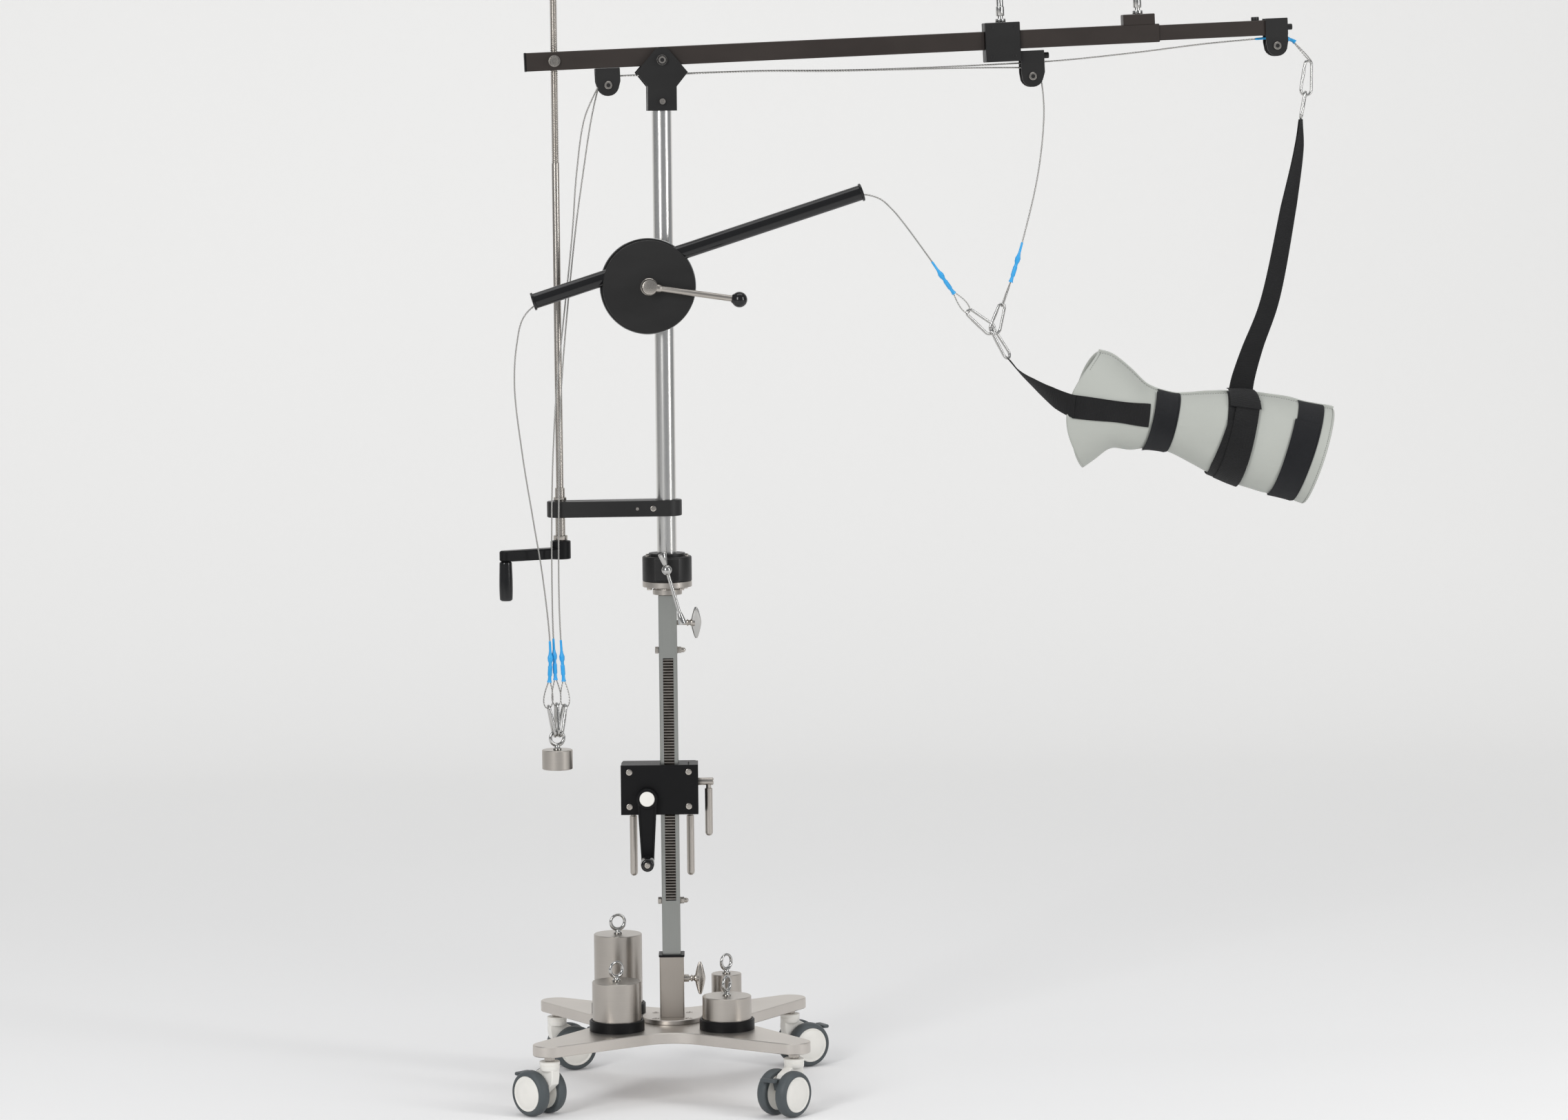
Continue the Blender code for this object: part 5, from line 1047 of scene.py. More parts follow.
def build_tilt_screw():
    """The screw's turned shank with its collars, its threaded end, and the crank below with its grip."""
    origin = (SCREW_X, 0, 0)
    plain = [(0.0060, 0.7925), (0.0060, 0.8170), (0.0112, 0.8172), (0.0115, 0.8178), (0.0115, 0.8244),
             (0.0110, 0.8250), (0.0080, 0.8252), (0.0080, 0.8815), (0.0103, 0.8822), (0.0105, 0.8828),
             (0.0105, 0.8868), (0.0100, 0.8875), (0.0080, 0.8880), (0.0080, 0.9022), (0.0070, 0.9030),
             (0.0060, 0.9032), (0.0060, 1.4320)]
    show(turned("screw_shank", plain, origin, sides=48), "screw", "screw steel", "tilt_screw")
    thread = thread_surface("screw_thread", origin, 1.4320, 1.7795, 0.0060, 0.0013, 0.0030)
    show(thread, "screw", "screw steel", "tilt_screw")
    base = 0.7865
    hub = [(0.0100, base + 0.002), (0.0105, base), (0.0155, base), (0.0165, base + 0.001), (0.0165, 0.8150),
           (0.0155, 0.8162)]
    show(turned("tilt_hub", hub, origin, sides=64), "screw", "black moulded", "tilt_crank")
    axes = turned_axes(TILT_CRANK_ANGLE + math.pi / 2)
    arm = slab("tilt_arm", crank_line(0.0140, 0.0100), base + 0.0010, base + 0.0185, 0.0022, origin, axes)
    show(arm, "screw", "black moulded", "tilt_crank")
    foot = np.array((SCREW_X + CRANK_REACH * math.cos(TILT_CRANK_ANGLE),
                     CRANK_REACH * math.sin(TILT_CRANK_ANGLE), 0.7872))
    show(turned("tilt_grip", grip_line(0.064), foot, (0, 0, -1), 56), "screw_grip", "gloss black",
         "tilt_crank_grip")


# Beam

# The sheaves' axles, along the beam and square to it from the pivot
LEFT_SHEAVE = (-0.0884, -0.0367)
MID_SHEAVE = (0.6054, -0.0546)
END_SHEAVE = (1.0111, -0.0237)
# The beam's own axis above the pivot, the nut's place along it, and where a cord lies on a sheave
BEAM_AXIS_W = 0.0063
NUT_U = -0.1739
GROOVE_R = 0.014
GROOVE_Y = 0.004


def build_beam():
    """The beam's tubes, boxes and brackets, with its end cap, screws, axles, sheaves and locks."""
    dress("worn anodised", "beam_tube", "outer_beam", "inner_beam")
    dress("black anodised", "joint_box", "left_bracket", "mid_bracket", "end_bracket")
    build_trunnion()
    cap = slab("beam_cap", rounded(-0.0154, 0.0154, -0.0154, 0.0154, 0.0020), -0.2222, -0.2190, 0.0006,
               on_beam(0, 0, BEAM_AXIS_W), np.array([(0, 1, 0), BEAM_AXES[2], BEAM_AXES[0]]))
    show(cap, "beam", "black moulded")
    place = on_beam(0.9785, 0, BEAM_AXIS_W + 0.0125)
    socket_screw("stop_screw", "beam_end", place, BEAM_AXES[2], 0.0065, 0.0060, "black anodised")
    for k, (u, w) in enumerate(((0.5400, 0.0270), (0.5763, 0.0270), (0.5400, -0.0205), (0.5763, -0.0205))):
        socket_screw("joint_screw_%d" % k, "beam", on_beam(u, -0.0225, w), (0, -1, 0), 0.0030, 0.0008,
                     "black anodised")
    for label, place, reach in (("left", LEFT_SHEAVE, 0.0150), ("mid", MID_SHEAVE, 0.0158)):
        bracket_pin("pin_" + label, "beam", place, reach)
    bracket_pin("pin_end", "beam_end", END_SHEAVE, 0.0158)
    build_sheave("left", "pulley_left", LEFT_SHEAVE, (-GROOVE_Y, GROOVE_Y), 0.0111)
    build_sheave("mid", "pulley_mid", MID_SHEAVE, (-GROOVE_Y,), 0.0124)
    build_sheave("end", "pulley_end", END_SHEAVE, (0.0,), 0.0124)
    lock_handle("joint", "joint_lock", 0.55815, 0.0351, 0.0115)
    lock_handle("tube", "tube_lock", 0.7845, 0.0383, 0.0190)


def build_trunnion():
    """The nut inside the beam: a bored block with a washer and a cap screw at each side of the beam."""
    centre = np.array((SCREW_X, 0.0, on_beam(NUT_U, 0, BEAM_AXIS_W)[2]))
    turn = np.linspace(0, TAU, 24, endpoint=False) + 0.13
    bore = 0.0063 * np.column_stack([np.cos(turn), np.sin(turn)])
    block = bored("nut_block", rounded(-0.009, 0.009, -0.0115, 0.0115, 0.0010), bore, -0.008, 0.008, centre)
    show(block, "nut", "screw steel", "trunnion_nut")
    for label, way in SIDES:
        line = [(0.0040, 0.0110), (0.0040, 0.0153), (0.0092, 0.0153), (0.0095, 0.0156), (0.0095, 0.0168),
                (0.0078, 0.0170), (0.0078, 0.0222), (0.0072, 0.0232), (0.0042, 0.0232), (0.0041, 0.0195)]
        bolt = turned("nut_bolt_" + label, line, centre, (0, way, 0), 48)
        show(bolt, "nut", "screw steel", "trunnion_nut")


def bracket_pin(name, body, place, reach):
    """A sheave's axle: one screw head on each side of its bracket."""
    u, w = place
    for label, way in SIDES:
        centre = on_beam(u, way * reach, w)
        socket_screw("%s_%s" % (name, label), body, centre, (0, way, 0), 0.0064, 0.0030)


def build_sheave(label, body, place, grooves, hub):
    """A pulley wheel with a round-bottomed V for each cord."""
    u, w = place
    outer = 0.0170
    bottom = GROOVE_R - rope_radius() - 0.0006
    line = [(0.0034, -hub), (0.0065, -hub), (0.0065, grooves[0] - 0.0042),
            (outer - 0.0006, grooves[0] - 0.0042), (outer, grooves[0] - 0.0036)]
    for groove in grooves:
        line += [(outer, groove - 0.0031), (bottom + 0.0010, groove - 0.0015), (bottom, groove - 0.0007),
                 (bottom, groove + 0.0007), (bottom + 0.0010, groove + 0.0015), (outer, groove + 0.0031)]
    line += [(outer, grooves[-1] + 0.0036), (outer - 0.0006, grooves[-1] + 0.0042),
             (0.0065, grooves[-1] + 0.0042), (0.0065, hub), (0.0034, hub)]
    wheel = turned("wheel_" + label, line, on_beam(u, 0, w), (0, 1, 0), 64, ring=True)
    show(wheel, body, "black moulded", "sheave_" + label)


def lock_handle(label, body, u, face, screw):
    """A lock's handle, turned in one profile: its screw, knob, neck, sleeve and long rod."""
    line = [(0.0036, -screw), (0.0040, 0.0004 - screw), (0.0040, 0.0003), (0.0083, 0.0004),
            (0.0085, 0.0010), (0.0085, 0.0054), (0.0078, 0.0060), (0.0042, 0.0063), (0.0042, 0.0102),
            (0.0064, 0.0105), (0.0068, 0.0112), (0.0068, 0.0252), (0.0060, 0.0262), (0.0056, 0.0270),
            (0.0057, 0.0840), (0.0050, 0.0872), (0.0036, 0.0886)]
    handle = turned("handle_" + label, line, on_beam(u, 0, face), BEAM_AXES[2], 48)
    show(handle, body, "polished steel", "lock_handle_" + label)


# Rigging

# The hanging weight: where its foot is, its radius and height, its collar, its eye's radius and its travel
LOAD_X = -0.186
LOAD_Y = -0.045
LOAD_LOW = 0.446
LOAD_R = 0.025
LOAD_HEIGHT = 0.032
COLLAR_HEIGHT = 0.006
LOAD_EYE_R = 0.0115
# The wire of a snap ring, and how far above its middle a cord starts
SNAP_WIRE = 0.0024
CORD_START = 0.0027
# Where the snap rings bear on the eye from below: its top, less its wire, their wire and some play
EYE_HOOK = np.array((LOAD_X, LOAD_Y, LOAD_LOW + LOAD_HEIGHT + COLLAR_HEIGHT + 2 * LOAD_EYE_R
                     - EYE_WIRE - SNAP_WIRE - 0.0006))
# Where the snap rings meet above the hand strap, and where the cords a, b and c end
V_POINT = np.array((0.5410, -0.004, 1.1480))
A_END = np.array((0.4980, -0.010, 1.1830))
B_END = np.array((0.5565, -0.002, 1.1930))
C_END = np.array((1.0660, 0.0, 1.5860))
# The sleeve's length and its lap over the eye, the eye's half width and how far it hangs round its ring
SLEEVE = 0.068
SLEEVE_LAP = 0.006
EYE_HALF = 0.0105
EYE_HANG = 0.0066
# The height at which each cord is parted
SPLIT_Z = 0.860


def rope_radius():
    """Half the user's cord, rounded because a property has single precision."""
    return round(bpy.context.scene.traction_sizes.cord, 6) / 2


def eye_length():
    """The user's length of a cord's eye, rounded because a property has single precision."""
    return round(bpy.context.scene.traction_sizes.loop, 6)


def snap_top(k):
    """Where each of the load's three snap rings holds its cord, fanned out from the eye."""
    side = k - 1
    return EYE_HOOK + np.array((0.0135 * side, 0.0050 * side, 0.0520 - 0.003 * abs(side)))


def snap_ring(name, body, top, bottom, normal, node, narrow=0.0056, wide=0.0090):
    """A pear-shaped snap ring and its gate: two arcs joined by their outer tangents."""
    top = np.asarray(top, float)
    bottom = np.asarray(bottom, float)
    along = unit(top - bottom)
    normal = unit(np.asarray(normal, float) - (np.asarray(normal, float) @ along) * along)
    side = np.cross(normal, along)
    span = float(np.linalg.norm(top - bottom)) - narrow - wide
    lean = math.acos((wide - narrow) / span)
    low = arc(0, 0, wide, math.degrees(lean), 360 - math.degrees(lean), 20)
    high = arc(span, 0, narrow, -math.degrees(lean), math.degrees(lean), 16)
    gap = np.linspace(0, 1, 10)[1:-1, None]
    first = low[-1] + gap * (high[0] - low[-1])
    second = high[-1] + gap * (low[0] - high[-1])
    line = np.concatenate([low, first, high, second])
    origin = bottom + along * wide
    path = origin + line[:, :1] * along + line[:, 1:] * side
    show(swept(name, path, SNAP_WIRE, True, 14, normal), body, "polished steel", node)
    gate = origin + second[1:-2, :1] * along + second[1:-2, 1:] * side
    show(swept(name + "_gate", gate, SNAP_WIRE * 1.14, False, 14, normal), body, "polished steel", node)


def build_snap_rings():
    """Three snap rings in the load's eye, three where cords meet, two at the long strap, and the load."""
    for k in range(3):
        side = k - 1
        foot = EYE_HOOK + np.array((0.0038 * side, 0.0012 * side, -0.0014 * abs(side)))
        snap_ring("snap_left_%d" % k, "load", snap_top(k), foot, (0.955, 0.295 + 0.12 * side, -0.18 * side),
                  "snap_rings_left")
    snap_ring("snap_a", "beam", A_END, V_POINT, (0.15, -1, 0.1), "snap_rings_right")
    snap_ring("snap_b", "beam", B_END, V_POINT + (0.0006, 0.0013, -0.0021), (0.2, -1, -0.25),
              "snap_rings_right")
    snap_ring("snap_strap", "beam", V_POINT + (-0.0025, -0.0006, 0.0050), (0.5660, -0.004, 1.1050),
              (0.75, -0.62, 0.3), "snap_rings_right")
    snap_ring("snap_end_a", "beam_end", C_END, (1.0610, 0.0, 1.5300), (0.1, -1, 0), "snap_ring_end")
    snap_ring("snap_end_b", "beam_end", (1.0610, 0.0, 1.5350), (1.0530, 0.0, 1.4930), (1, -0.3, 0.2),
              "snap_ring_end", 0.0050, 0.0066)
    eye_weight("load_weight", "load", (LOAD_X, LOAD_Y, LOAD_LOW), LOAD_R, LOAD_HEIGHT, "hanging_weight",
               0.3, LOAD_EYE_R)


def cord_end(name, body, path, lateral, reverse=False):
    """The eye at a cord's end, and the sleeve that covers its splice.

    The eye is a teardrop of wire: half of 1 less the turn's cosine along it, and across it the turn's sine
    times the half turn's sine to the power 1.4. The sleeve's radius runs through a table of marks.
    """
    if reverse:
        path = path[::-1]
    loop_length = eye_length()
    ring = path[0]
    neck = part_of(path, loop_length, loop_length + 0.002)[0]
    down = unit(ring - neck)
    foot = ring + EYE_HANG * down
    reach = float(np.linalg.norm(foot - neck))
    turn = np.linspace(0, TAU, 40, endpoint=False)
    lateral = np.asarray(lateral, float)
    lateral = unit(lateral - (lateral @ down) * down)
    along = reach * (1 - np.cos(turn)) / 2
    wide = EYE_HALF * np.sin(turn) * np.abs(np.sin(turn / 2)) ** 1.4
    loop = neck + along[:, None] * down + wide[:, None] * lateral
    eye = swept(name + "_eye", loop, 0.0010, True, 8, np.cross(down, lateral))
    show(eye, body, "wire rope")
    start = loop_length - SLEEVE_LAP
    sleeve_path = part_of(path, start, start + SLEEVE, 0.0008)
    s = np.linspace(0, 1, len(sleeve_path))
    marks = (0.0, 0.06, 0.14, 0.17, 0.38, 0.41, 0.47, 0.52, 0.60, 0.67, 0.75, 0.98, 1.0)
    radii = (0.0040, 0.0030, 0.0026, 0.0036, 0.0036, 0.0027, 0.0028, 0.0042, 0.0046, 0.0030, 0.0021, 0.0019,
             0.0014)
    sleeve = swept(name + "_sleeve", sleeve_path, np.interp(s, marks, radii), False, 20, lateral)
    show(sleeve, body, "blue sleeve")
    return eye, sleeve


def cord_stretch(name, path, body=None):
    """A plain stretch of wire rope: a circle carried along the path."""
    return show(swept(name, path, rope_radius(), False, 10), body, "wire rope")


def lower_stretch(name, path):
    """The plain stretch above the hanging weight, up to the height where the cord is parted."""
    split = distance_where(path, 2, SPLIT_Z)
    line = part_of(path, eye_length(), split)
    piece = cord_stretch(name, line, "mast")
    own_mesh(piece)
    return split


def cord_ends(name, body, path, near_way, far_way):
    """Both eyes of a cord with their sleeves, and its stretch above the load. Returns where that ends."""
    near = cord_end(name + "_start", "load", path, near_way)
    far = cord_end(name + "_end", body, path, far_way, True)
    return lower_stretch(name + "_low", path), far


def over_sheave(place, y, start, end, steps=4):
    """Points in a sheave's groove: an arc about its axle, in the beam's own axes."""
    u, w = place
    return [on_beam(a, y, b) for a, b in arc(u, w, GROOVE_R, start, end, steps)]


def route_a():
    """Cord a: from the load up and through the guide tube, where it sags, and down to its snap ring."""
    left = GUIDE_LEFT
    right = GUIDE_RIGHT
    along = unit(right - left)
    drop = np.array((0, 0, -0.0055))
    points = [snap_top(0) + (-0.0008, 0, CORD_START), (-0.1955, -0.050, 0.640), (-0.2060, -0.052, 0.760),
              (-0.2205, -0.056, 0.855), (-0.2370, -0.060, 0.965), (-0.2478, -0.063, 1.072),
              (-0.2435, -0.065, 1.140), (-0.2320, -0.066, 1.184), left + along * 0.010 + drop]
    for k in range(1, 6):
        points.append(left + (right - left) * k / 6 + drop * (1 if k < 5 else 0.4))
    points += [right - along * 0.010 + drop * 0.2, (0.3470, -0.064, 1.3700), (0.3680, -0.060, 1.3530),
               (0.3870, -0.055, 1.3310), (0.4320, -0.040, 1.2710), (0.4740, -0.020, 1.2130),
               A_END + (-0.0015, 0, 0.0030)]
    return smooth_route(points)


def route_b():
    """Cord b: from the load over the left and the middle sheave, and down to its snap ring."""
    points = [snap_top(1) + (0, 0, CORD_START), (-0.1905, -0.0405, 0.700), (-0.1885, -0.032, 0.888),
              (-0.1830, -0.026, 1.001), (-0.1775, -0.022, 1.069), (-0.1490, -0.012, 1.315),
              (-0.1400, -0.008, 1.416), (-0.1255, -0.005, 1.505)]
    points += over_sheave(LEFT_SHEAVE, -GROOVE_Y, 168, 92)
    sag = ((0.0, -0.0238), (0.159, -0.0256), (0.272, -0.0308), (0.385, -0.0336), (0.498, -0.0362),
           (0.560, -0.0385))
    points += [on_beam(u, -GROOVE_Y, w) for u, w in sag]
    points += over_sheave(MID_SHEAVE, -GROOVE_Y, 96, 8)
    points += [(0.6265, -0.004, 1.5100), (0.6165, -0.004, 1.4077), (0.5890, -0.003, 1.2918),
               (0.5705, -0.002, 1.2300), B_END + (0.0012, 0, 0.0022)]
    return smooth_route(points)


def route_c():
    """Cord c: from the load over the left and the end sheave to the long strap's snap ring."""
    points = [snap_top(2) + (0.0008, 0, CORD_START), (-0.1790, -0.036, 0.700), (-0.1770, -0.028, 0.888),
              (-0.1700, -0.020, 1.069), (-0.1440, -0.006, 1.315), (-0.1290, 0.000, 1.416),
              (-0.1140, 0.003, 1.505)]
    points += over_sheave(LEFT_SHEAVE, GROOVE_Y, 168, 92)
    sag = ((0.0, GROOVE_Y, -0.0232), (0.159, GROOVE_Y, -0.0250), (0.272, GROOVE_Y, -0.0295),
           (0.385, GROOVE_Y, -0.0320), (0.498, GROOVE_Y, -0.0327), (0.605, GROOVE_Y, -0.0322),
           (0.669, 0.003, -0.0306), (0.783, 0.002, -0.0238), (0.897, 0.001, -0.0150))
    points += [on_beam(*place) for place in sag]
    points += over_sheave(END_SHEAVE, 0.0, 102, 72, 2)
    points += [(1.0390, 0.0, 1.6195), (1.0560, 0.0, 1.6040), C_END + (0.0005, 0, 0.0032)]
    return smooth_route(points)


def build_cords():
    """Each cord is cut where the joints bend it: above the weight, at the guide tube and along the beam."""
    path = route_a()
    split, far = cord_ends("cord_a", "beam", path, (1, 0, 0), (0.75, 0.5, 0.75))
    mouth = distance_where(path, 0, 0.320)
    run = part_of(path, split, mouth)
    piece = cord_stretch("cord_a_run", run, "mast")
    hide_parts("cord_a")
    line = part_of(path, mouth, -eye_length())
    piece = cord_stretch("cord_a_far", line)
    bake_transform(piece)

    path = route_b()
    split, far = cord_ends("cord_b", "beam", path, (1, 0.2, 0), (0, 1, 0))
    line = part_of(path, split, -eye_length())
    piece = cord_stretch("cord_b_run", line)
    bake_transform(piece)
    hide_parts("cord_b")

    path = route_c()
    split, far = cord_ends("cord_c", "beam_end", path, (1, -0.3, 0), (0.5, 1, 0))
    middle = distance_where(path, 0, 0.600)
    line = part_of(path, split, middle)
    piece = cord_stretch("cord_c_run", line)
    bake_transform(piece)
    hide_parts("cord_c")
    line = part_of(path, middle, -eye_length())
    piece = cord_stretch("cord_c_far", line)
    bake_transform(piece)


# Cuff and straps

# Each ring's middle along x and z, its half height, its half depth and its lean in degrees
CUFF_RINGS = np.array((
    (0.7000, 1.0180, 0.0980, 0.060, 82.0), (0.7240, 1.0210, 0.0890, 0.058, 80.0),
    (0.7510, 1.0190, 0.0735, 0.054, 77.0), (0.7810, 1.0030, 0.0560, 0.048, 74.0),
    (0.8110, 0.9990, 0.0490, 0.045, 73.0), (0.8460, 0.9930, 0.0505, 0.045, 74.0),
    (0.8830, 0.9850, 0.0600, 0.049, 75.0), (0.9180, 0.9760, 0.0700, 0.054, 75.0),
    (0.9680, 0.9640, 0.0775, 0.058, 73.5), (1.0290, 0.9490, 0.0815, 0.060, 72.5),
    (1.0820, 0.9350, 0.0820, 0.061, 72.0)))
CUFF_LEFT = 0.7000
CUFF_RIGHT = 1.0820
CUFF_WALL = 0.0060


def dense_rings():
    """The cuff's rings with twenty steps from each to the next, along a Catmull-Rom curve."""
    p = CUFF_RINGS
    ends = np.concatenate([[2 * p[0] - p[1]], p, [2 * p[-1] - p[-2]]])
    a, b, c, d = ends[:-3], ends[1:-2], ends[2:-1], ends[3:]
    t = np.linspace(0, 1, 20, endpoint=False)[:, None, None]
    dense = 0.5 * (2 * b + (c - a) * t + (2 * a - 5 * b + 4 * c - d) * t ** 2
                   + (3 * b - a - 3 * c + d) * t ** 3)
    return np.concatenate([dense.transpose(1, 0, 2).reshape(-1, 5), p[-1:]])


RINGS = dense_rings()
# Each band's place along x at the top and at the underside, and its width
BANDS = {
    "wrist": (0.8170, 0.8217, 0.0380),
    "middle": (0.9300, 0.9435, 0.0390),
    "elbow": (1.0434, 1.0415, 0.0415),
}


def cuff_point(x, turn, grow):
    """A point of the cuff: an oval ring about its axis at x, leaning with the arm.

    The turn's sine times the half height goes along the lean, its cosine times the half depth to the rear.
    The hand end is cut back above and below. Bell curves draw the cover in beside it and under each band,
    and the product of two waves puffs it up.
    """
    middle_z = np.interp(x, RINGS[:, 0], RINGS[:, 1])
    neck = 0.0065 * np.exp(-((x - 0.748) / 0.024) ** 2)
    half_height = np.interp(x, RINGS[:, 0], RINGS[:, 2]) - neck
    half_depth = np.interp(x, RINGS[:, 0], RINGS[:, 3])
    lean = np.radians(np.interp(x, RINGS[:, 0], RINGS[:, 4]))
    high = np.sin(turn)
    deep = np.cos(turn)
    pinch = 0.0
    for top, low, width in BANDS.values():
        centre = (top + low) / 2 + (top - low) / 2 * high
        pinch = pinch - 0.0016 * np.exp(-((x - centre) / (width * 0.62)) ** 4)
    puff = 0.0009 * np.sin(x * 70 + 2.1 * high) * np.cos(turn * 3 + x * 25)
    size = grow + pinch + puff
    hand = np.clip((0.770 - x) / 0.070, 0, 1) ** 1.5
    shift = -hand * deep ** 2 * (0.033 - 0.013 * deep)
    return np.stack([x + np.cos(lean) * (half_height + size) * high + shift, (half_depth + size) * deep,
                     middle_z + np.sin(lean) * (half_height + size) * high], -1)


def cuff_front(x, z):
    """Where on the cuff's front half a point with this x and z lies, found by repeated correction."""
    along = np.array(x, float)
    turn = np.full_like(along, math.pi)
    for _ in range(30):
        point = cuff_point(along, turn, 0.0)
        along = along + 0.55 * (x - point[..., 0])
        middle = np.interp(along, RINGS[:, 0], RINGS[:, 1])
        lean = np.radians(np.interp(along, RINGS[:, 0], RINGS[:, 4]))
        reach = np.interp(along, RINGS[:, 0], RINGS[:, 2]) * np.sin(lean)
        turn = math.pi - np.arcsin(np.clip((z - middle) / reach, -0.98, 0.98))
    return along, turn


def build_cuff():
    """The padded cover: out along the cuff, round a lip, back along the lining and round the other lip."""
    half = CUFF_WALL / 2
    lip = np.linspace(math.pi / 2, -math.pi / 2, 9)[1:-1]
    out_x = np.linspace(CUFF_LEFT + half, CUFF_RIGHT - half, 150)
    x = np.concatenate([out_x, CUFF_RIGHT - half + half * np.cos(lip), out_x[::-1],
                        CUFF_LEFT + half - half * np.cos(lip)])
    grow = np.concatenate([0 * out_x, -half + half * np.sin(lip), 0 * out_x - CUFF_WALL,
                           -half - half * np.sin(lip)])
    turn = np.linspace(0, TAU, 120, endpoint=False)
    points = cuff_point(x[:, None], turn[None, :], grow[:, None])
    cuff = grid_mesh("forearm_cuff", points, ring=True, sharp=60.0)
    show(cuff, "beam", "cuff cover", "arm_cuff")
    build_seams()
    for name, (top, low, width) in BANDS.items():
        if name != "middle":
            build_band(name, top, low, width)


def cuff_outward(x, turn):
    """The cuff's outward direction, from two small steps over its surface."""
    step = 1e-4
    here = cuff_point(x, turn, 0.0)
    along = cuff_point(x + step, turn, 0.0) - here
    round_it = cuff_point(x, turn + step, 0.0) - here
    return unit(np.cross(round_it, along))


def build_seams():
    """A flat border along the top edge and dashes of thread beside it and beside the elbow end."""
    x = np.linspace(CUFF_LEFT + 0.002, CUFF_RIGHT - 0.001, 160)
    top = np.full_like(x, math.pi / 2)
    ridge = cuff_point(x, top, 0.0008)
    border = swept("cuff_border", ridge, 0.0026, False, 12, (0, 1, 0), 0.9)
    show(border, "beam", "cuff cover")
    x = np.linspace(CUFF_LEFT + 0.004, CUFF_RIGHT - 0.004, 96)
    stitches("cuff_stitch_top", x, math.radians(102), True)
    angles = np.radians(np.linspace(100, 262, 58))
    stitches("cuff_stitch_elbow", CUFF_RIGHT - 0.0042, angles, False)
    angles = np.radians(np.linspace(100, 135, 14))
    stitches("cuff_stitch_hand", CUFF_LEFT + 0.0046, angles, False)


def stitches(name, x, turn, lengthwise):
    """Short round-ended dashes laid on the cuff, all worked out at once."""
    x, turn = np.broadcast_arrays(np.asarray(x, float), np.asarray(turn, float))
    centre = cuff_point(x, turn, 0.0002)
    step = 0.0006
    if lengthwise:
        way = unit(cuff_point(x + step, turn, 0.0) - cuff_point(x - step, turn, 0.0))
    else:
        way = unit(cuff_point(x, turn + 0.01, 0.0) - cuff_point(x, turn - 0.01, 0.0))
    out = cuff_outward(x, turn)
    side = np.cross(way, out)
    t = np.array((-1.0, -0.7, 0.7, 1.0))
    thick = np.array((0.35, 1.0, 1.0, 0.35)) * 0.00042
    angle = np.linspace(0, TAU, 6, endpoint=False)
    points = (centre[:, None, None] + 0.0013 * t[None, :, None, None] * way[:, None, None]
              + thick[None, :, None, None] * (np.cos(angle)[None, None, :, None] * side[:, None, None]
                                              + np.sin(angle)[None, None, :, None] * out[:, None, None]))
    count, rows, columns = points.shape[:3]
    quads = grid_quads(rows, columns, False)[2][None] + (np.arange(count) * rows * columns)[:, None, None]
    faces = quads.reshape(-1, 4).tolist()
    ends = np.arange(count)[:, None] * rows * columns
    faces += (ends + np.arange(columns)[::-1]).tolist()
    faces += (ends + (rows - 1) * columns + np.arange(columns)).tolist()
    mesh = bpy.data.meshes.new(name)
    mesh.from_pydata(points.reshape(-1, 3), [], faces)
    show(settle(name, mesh, 70.0), "beam", "thread")


def wrap(name, centre, width, start, end, lift, thick, finish, round_steps=150):
    """A strip of cloth round the cuff between two angles in degrees, or closed from 0 to 360.

    At each angle its section runs across on top and back below, and both edges are eased.
    """
    full = end - start == 360
    turn = np.linspace(math.radians(start), math.radians(end), round_steps, endpoint=not full)
    span = np.linspace(-1, 1, 24)
    edge = np.concatenate([span, span[::-1]])
    level = np.repeat([lift + thick, lift], len(span))
    round_off = 0.35 * thick * (np.abs(edge) > 0.999)
    level = level - round_off * np.sign(level - lift - thick / 2)
    x = centre(turn)[:, None] + width(turn)[:, None] / 2 * edge[None, :]
    points = cuff_point(x, turn[:, None], level[None, :])
    piece = grid_mesh(name, points, full, 40.0)
    return show(piece, "beam", finish)


def build_band(name, top, low, width):
    """A hook-and-loop band round the cuff, and its free end laid over it at the front."""
    def centre(turn):
        return (top + low) / 2 + (top - low) / 2 * np.sin(turn)

    def flap_centre(turn):
        return centre(turn) - 0.0030 + 0.0006 * np.sin(turn * 2)

    def full(turn):
        return np.full_like(turn, width)

    def flap(turn):
        return np.full_like(turn, width * 0.98)

    wrap("band_" + name, centre, full, 0, 360, 0.0005, 0.0016, "hook band")
    start = 116 if name == "wrist" else 142
    wrap("band_%s_end" % name, flap_centre, flap, start, 262, 0.0023, 0.0015, "hook band", 70)


def strap(name, sections, thick, finish, body=None, offset=0.0):
    """A strip carried through cross-lines, each given by its middle, half width, lean and twist.

    Its section runs across on one side and back on the other. It is cupped by 4% of the half width, times 1
    less the square of the place across it.
    """
    middle = smooth_route([s[0] for s in sections], 16)
    marks = np.arange(len(sections))
    at = np.linspace(0, len(sections) - 1, len(middle))
    half, lean, twist = (np.interp(at, marks, [s[k] for s in sections]) for k in (1, 2, 3))
    across = np.stack([np.cos(lean) * np.cos(twist), np.sin(twist), np.sin(lean) * np.cos(twist)], -1)
    way = unit(np.gradient(middle, axis=0))
    normal = unit(np.cross(across, way))
    span = np.linspace(1, -1, 14)
    edge = np.concatenate([span, -span])
    level = np.repeat([0.5, -0.5], len(span)) * (1 - 0.3 * (np.abs(edge) > 0.999))
    cup = 0.10 * (1 - edge ** 2)
    rise = thick * level[None, :] + half[:, None] * cup[None, :] * 0.4 + offset
    points = (middle[:, None] + (half[:, None] * edge[None, :])[..., None] * across[:, None]
              + rise[..., None] * normal[:, None])
    return show(grid_mesh(name, points, sharp=40.0), body, finish)


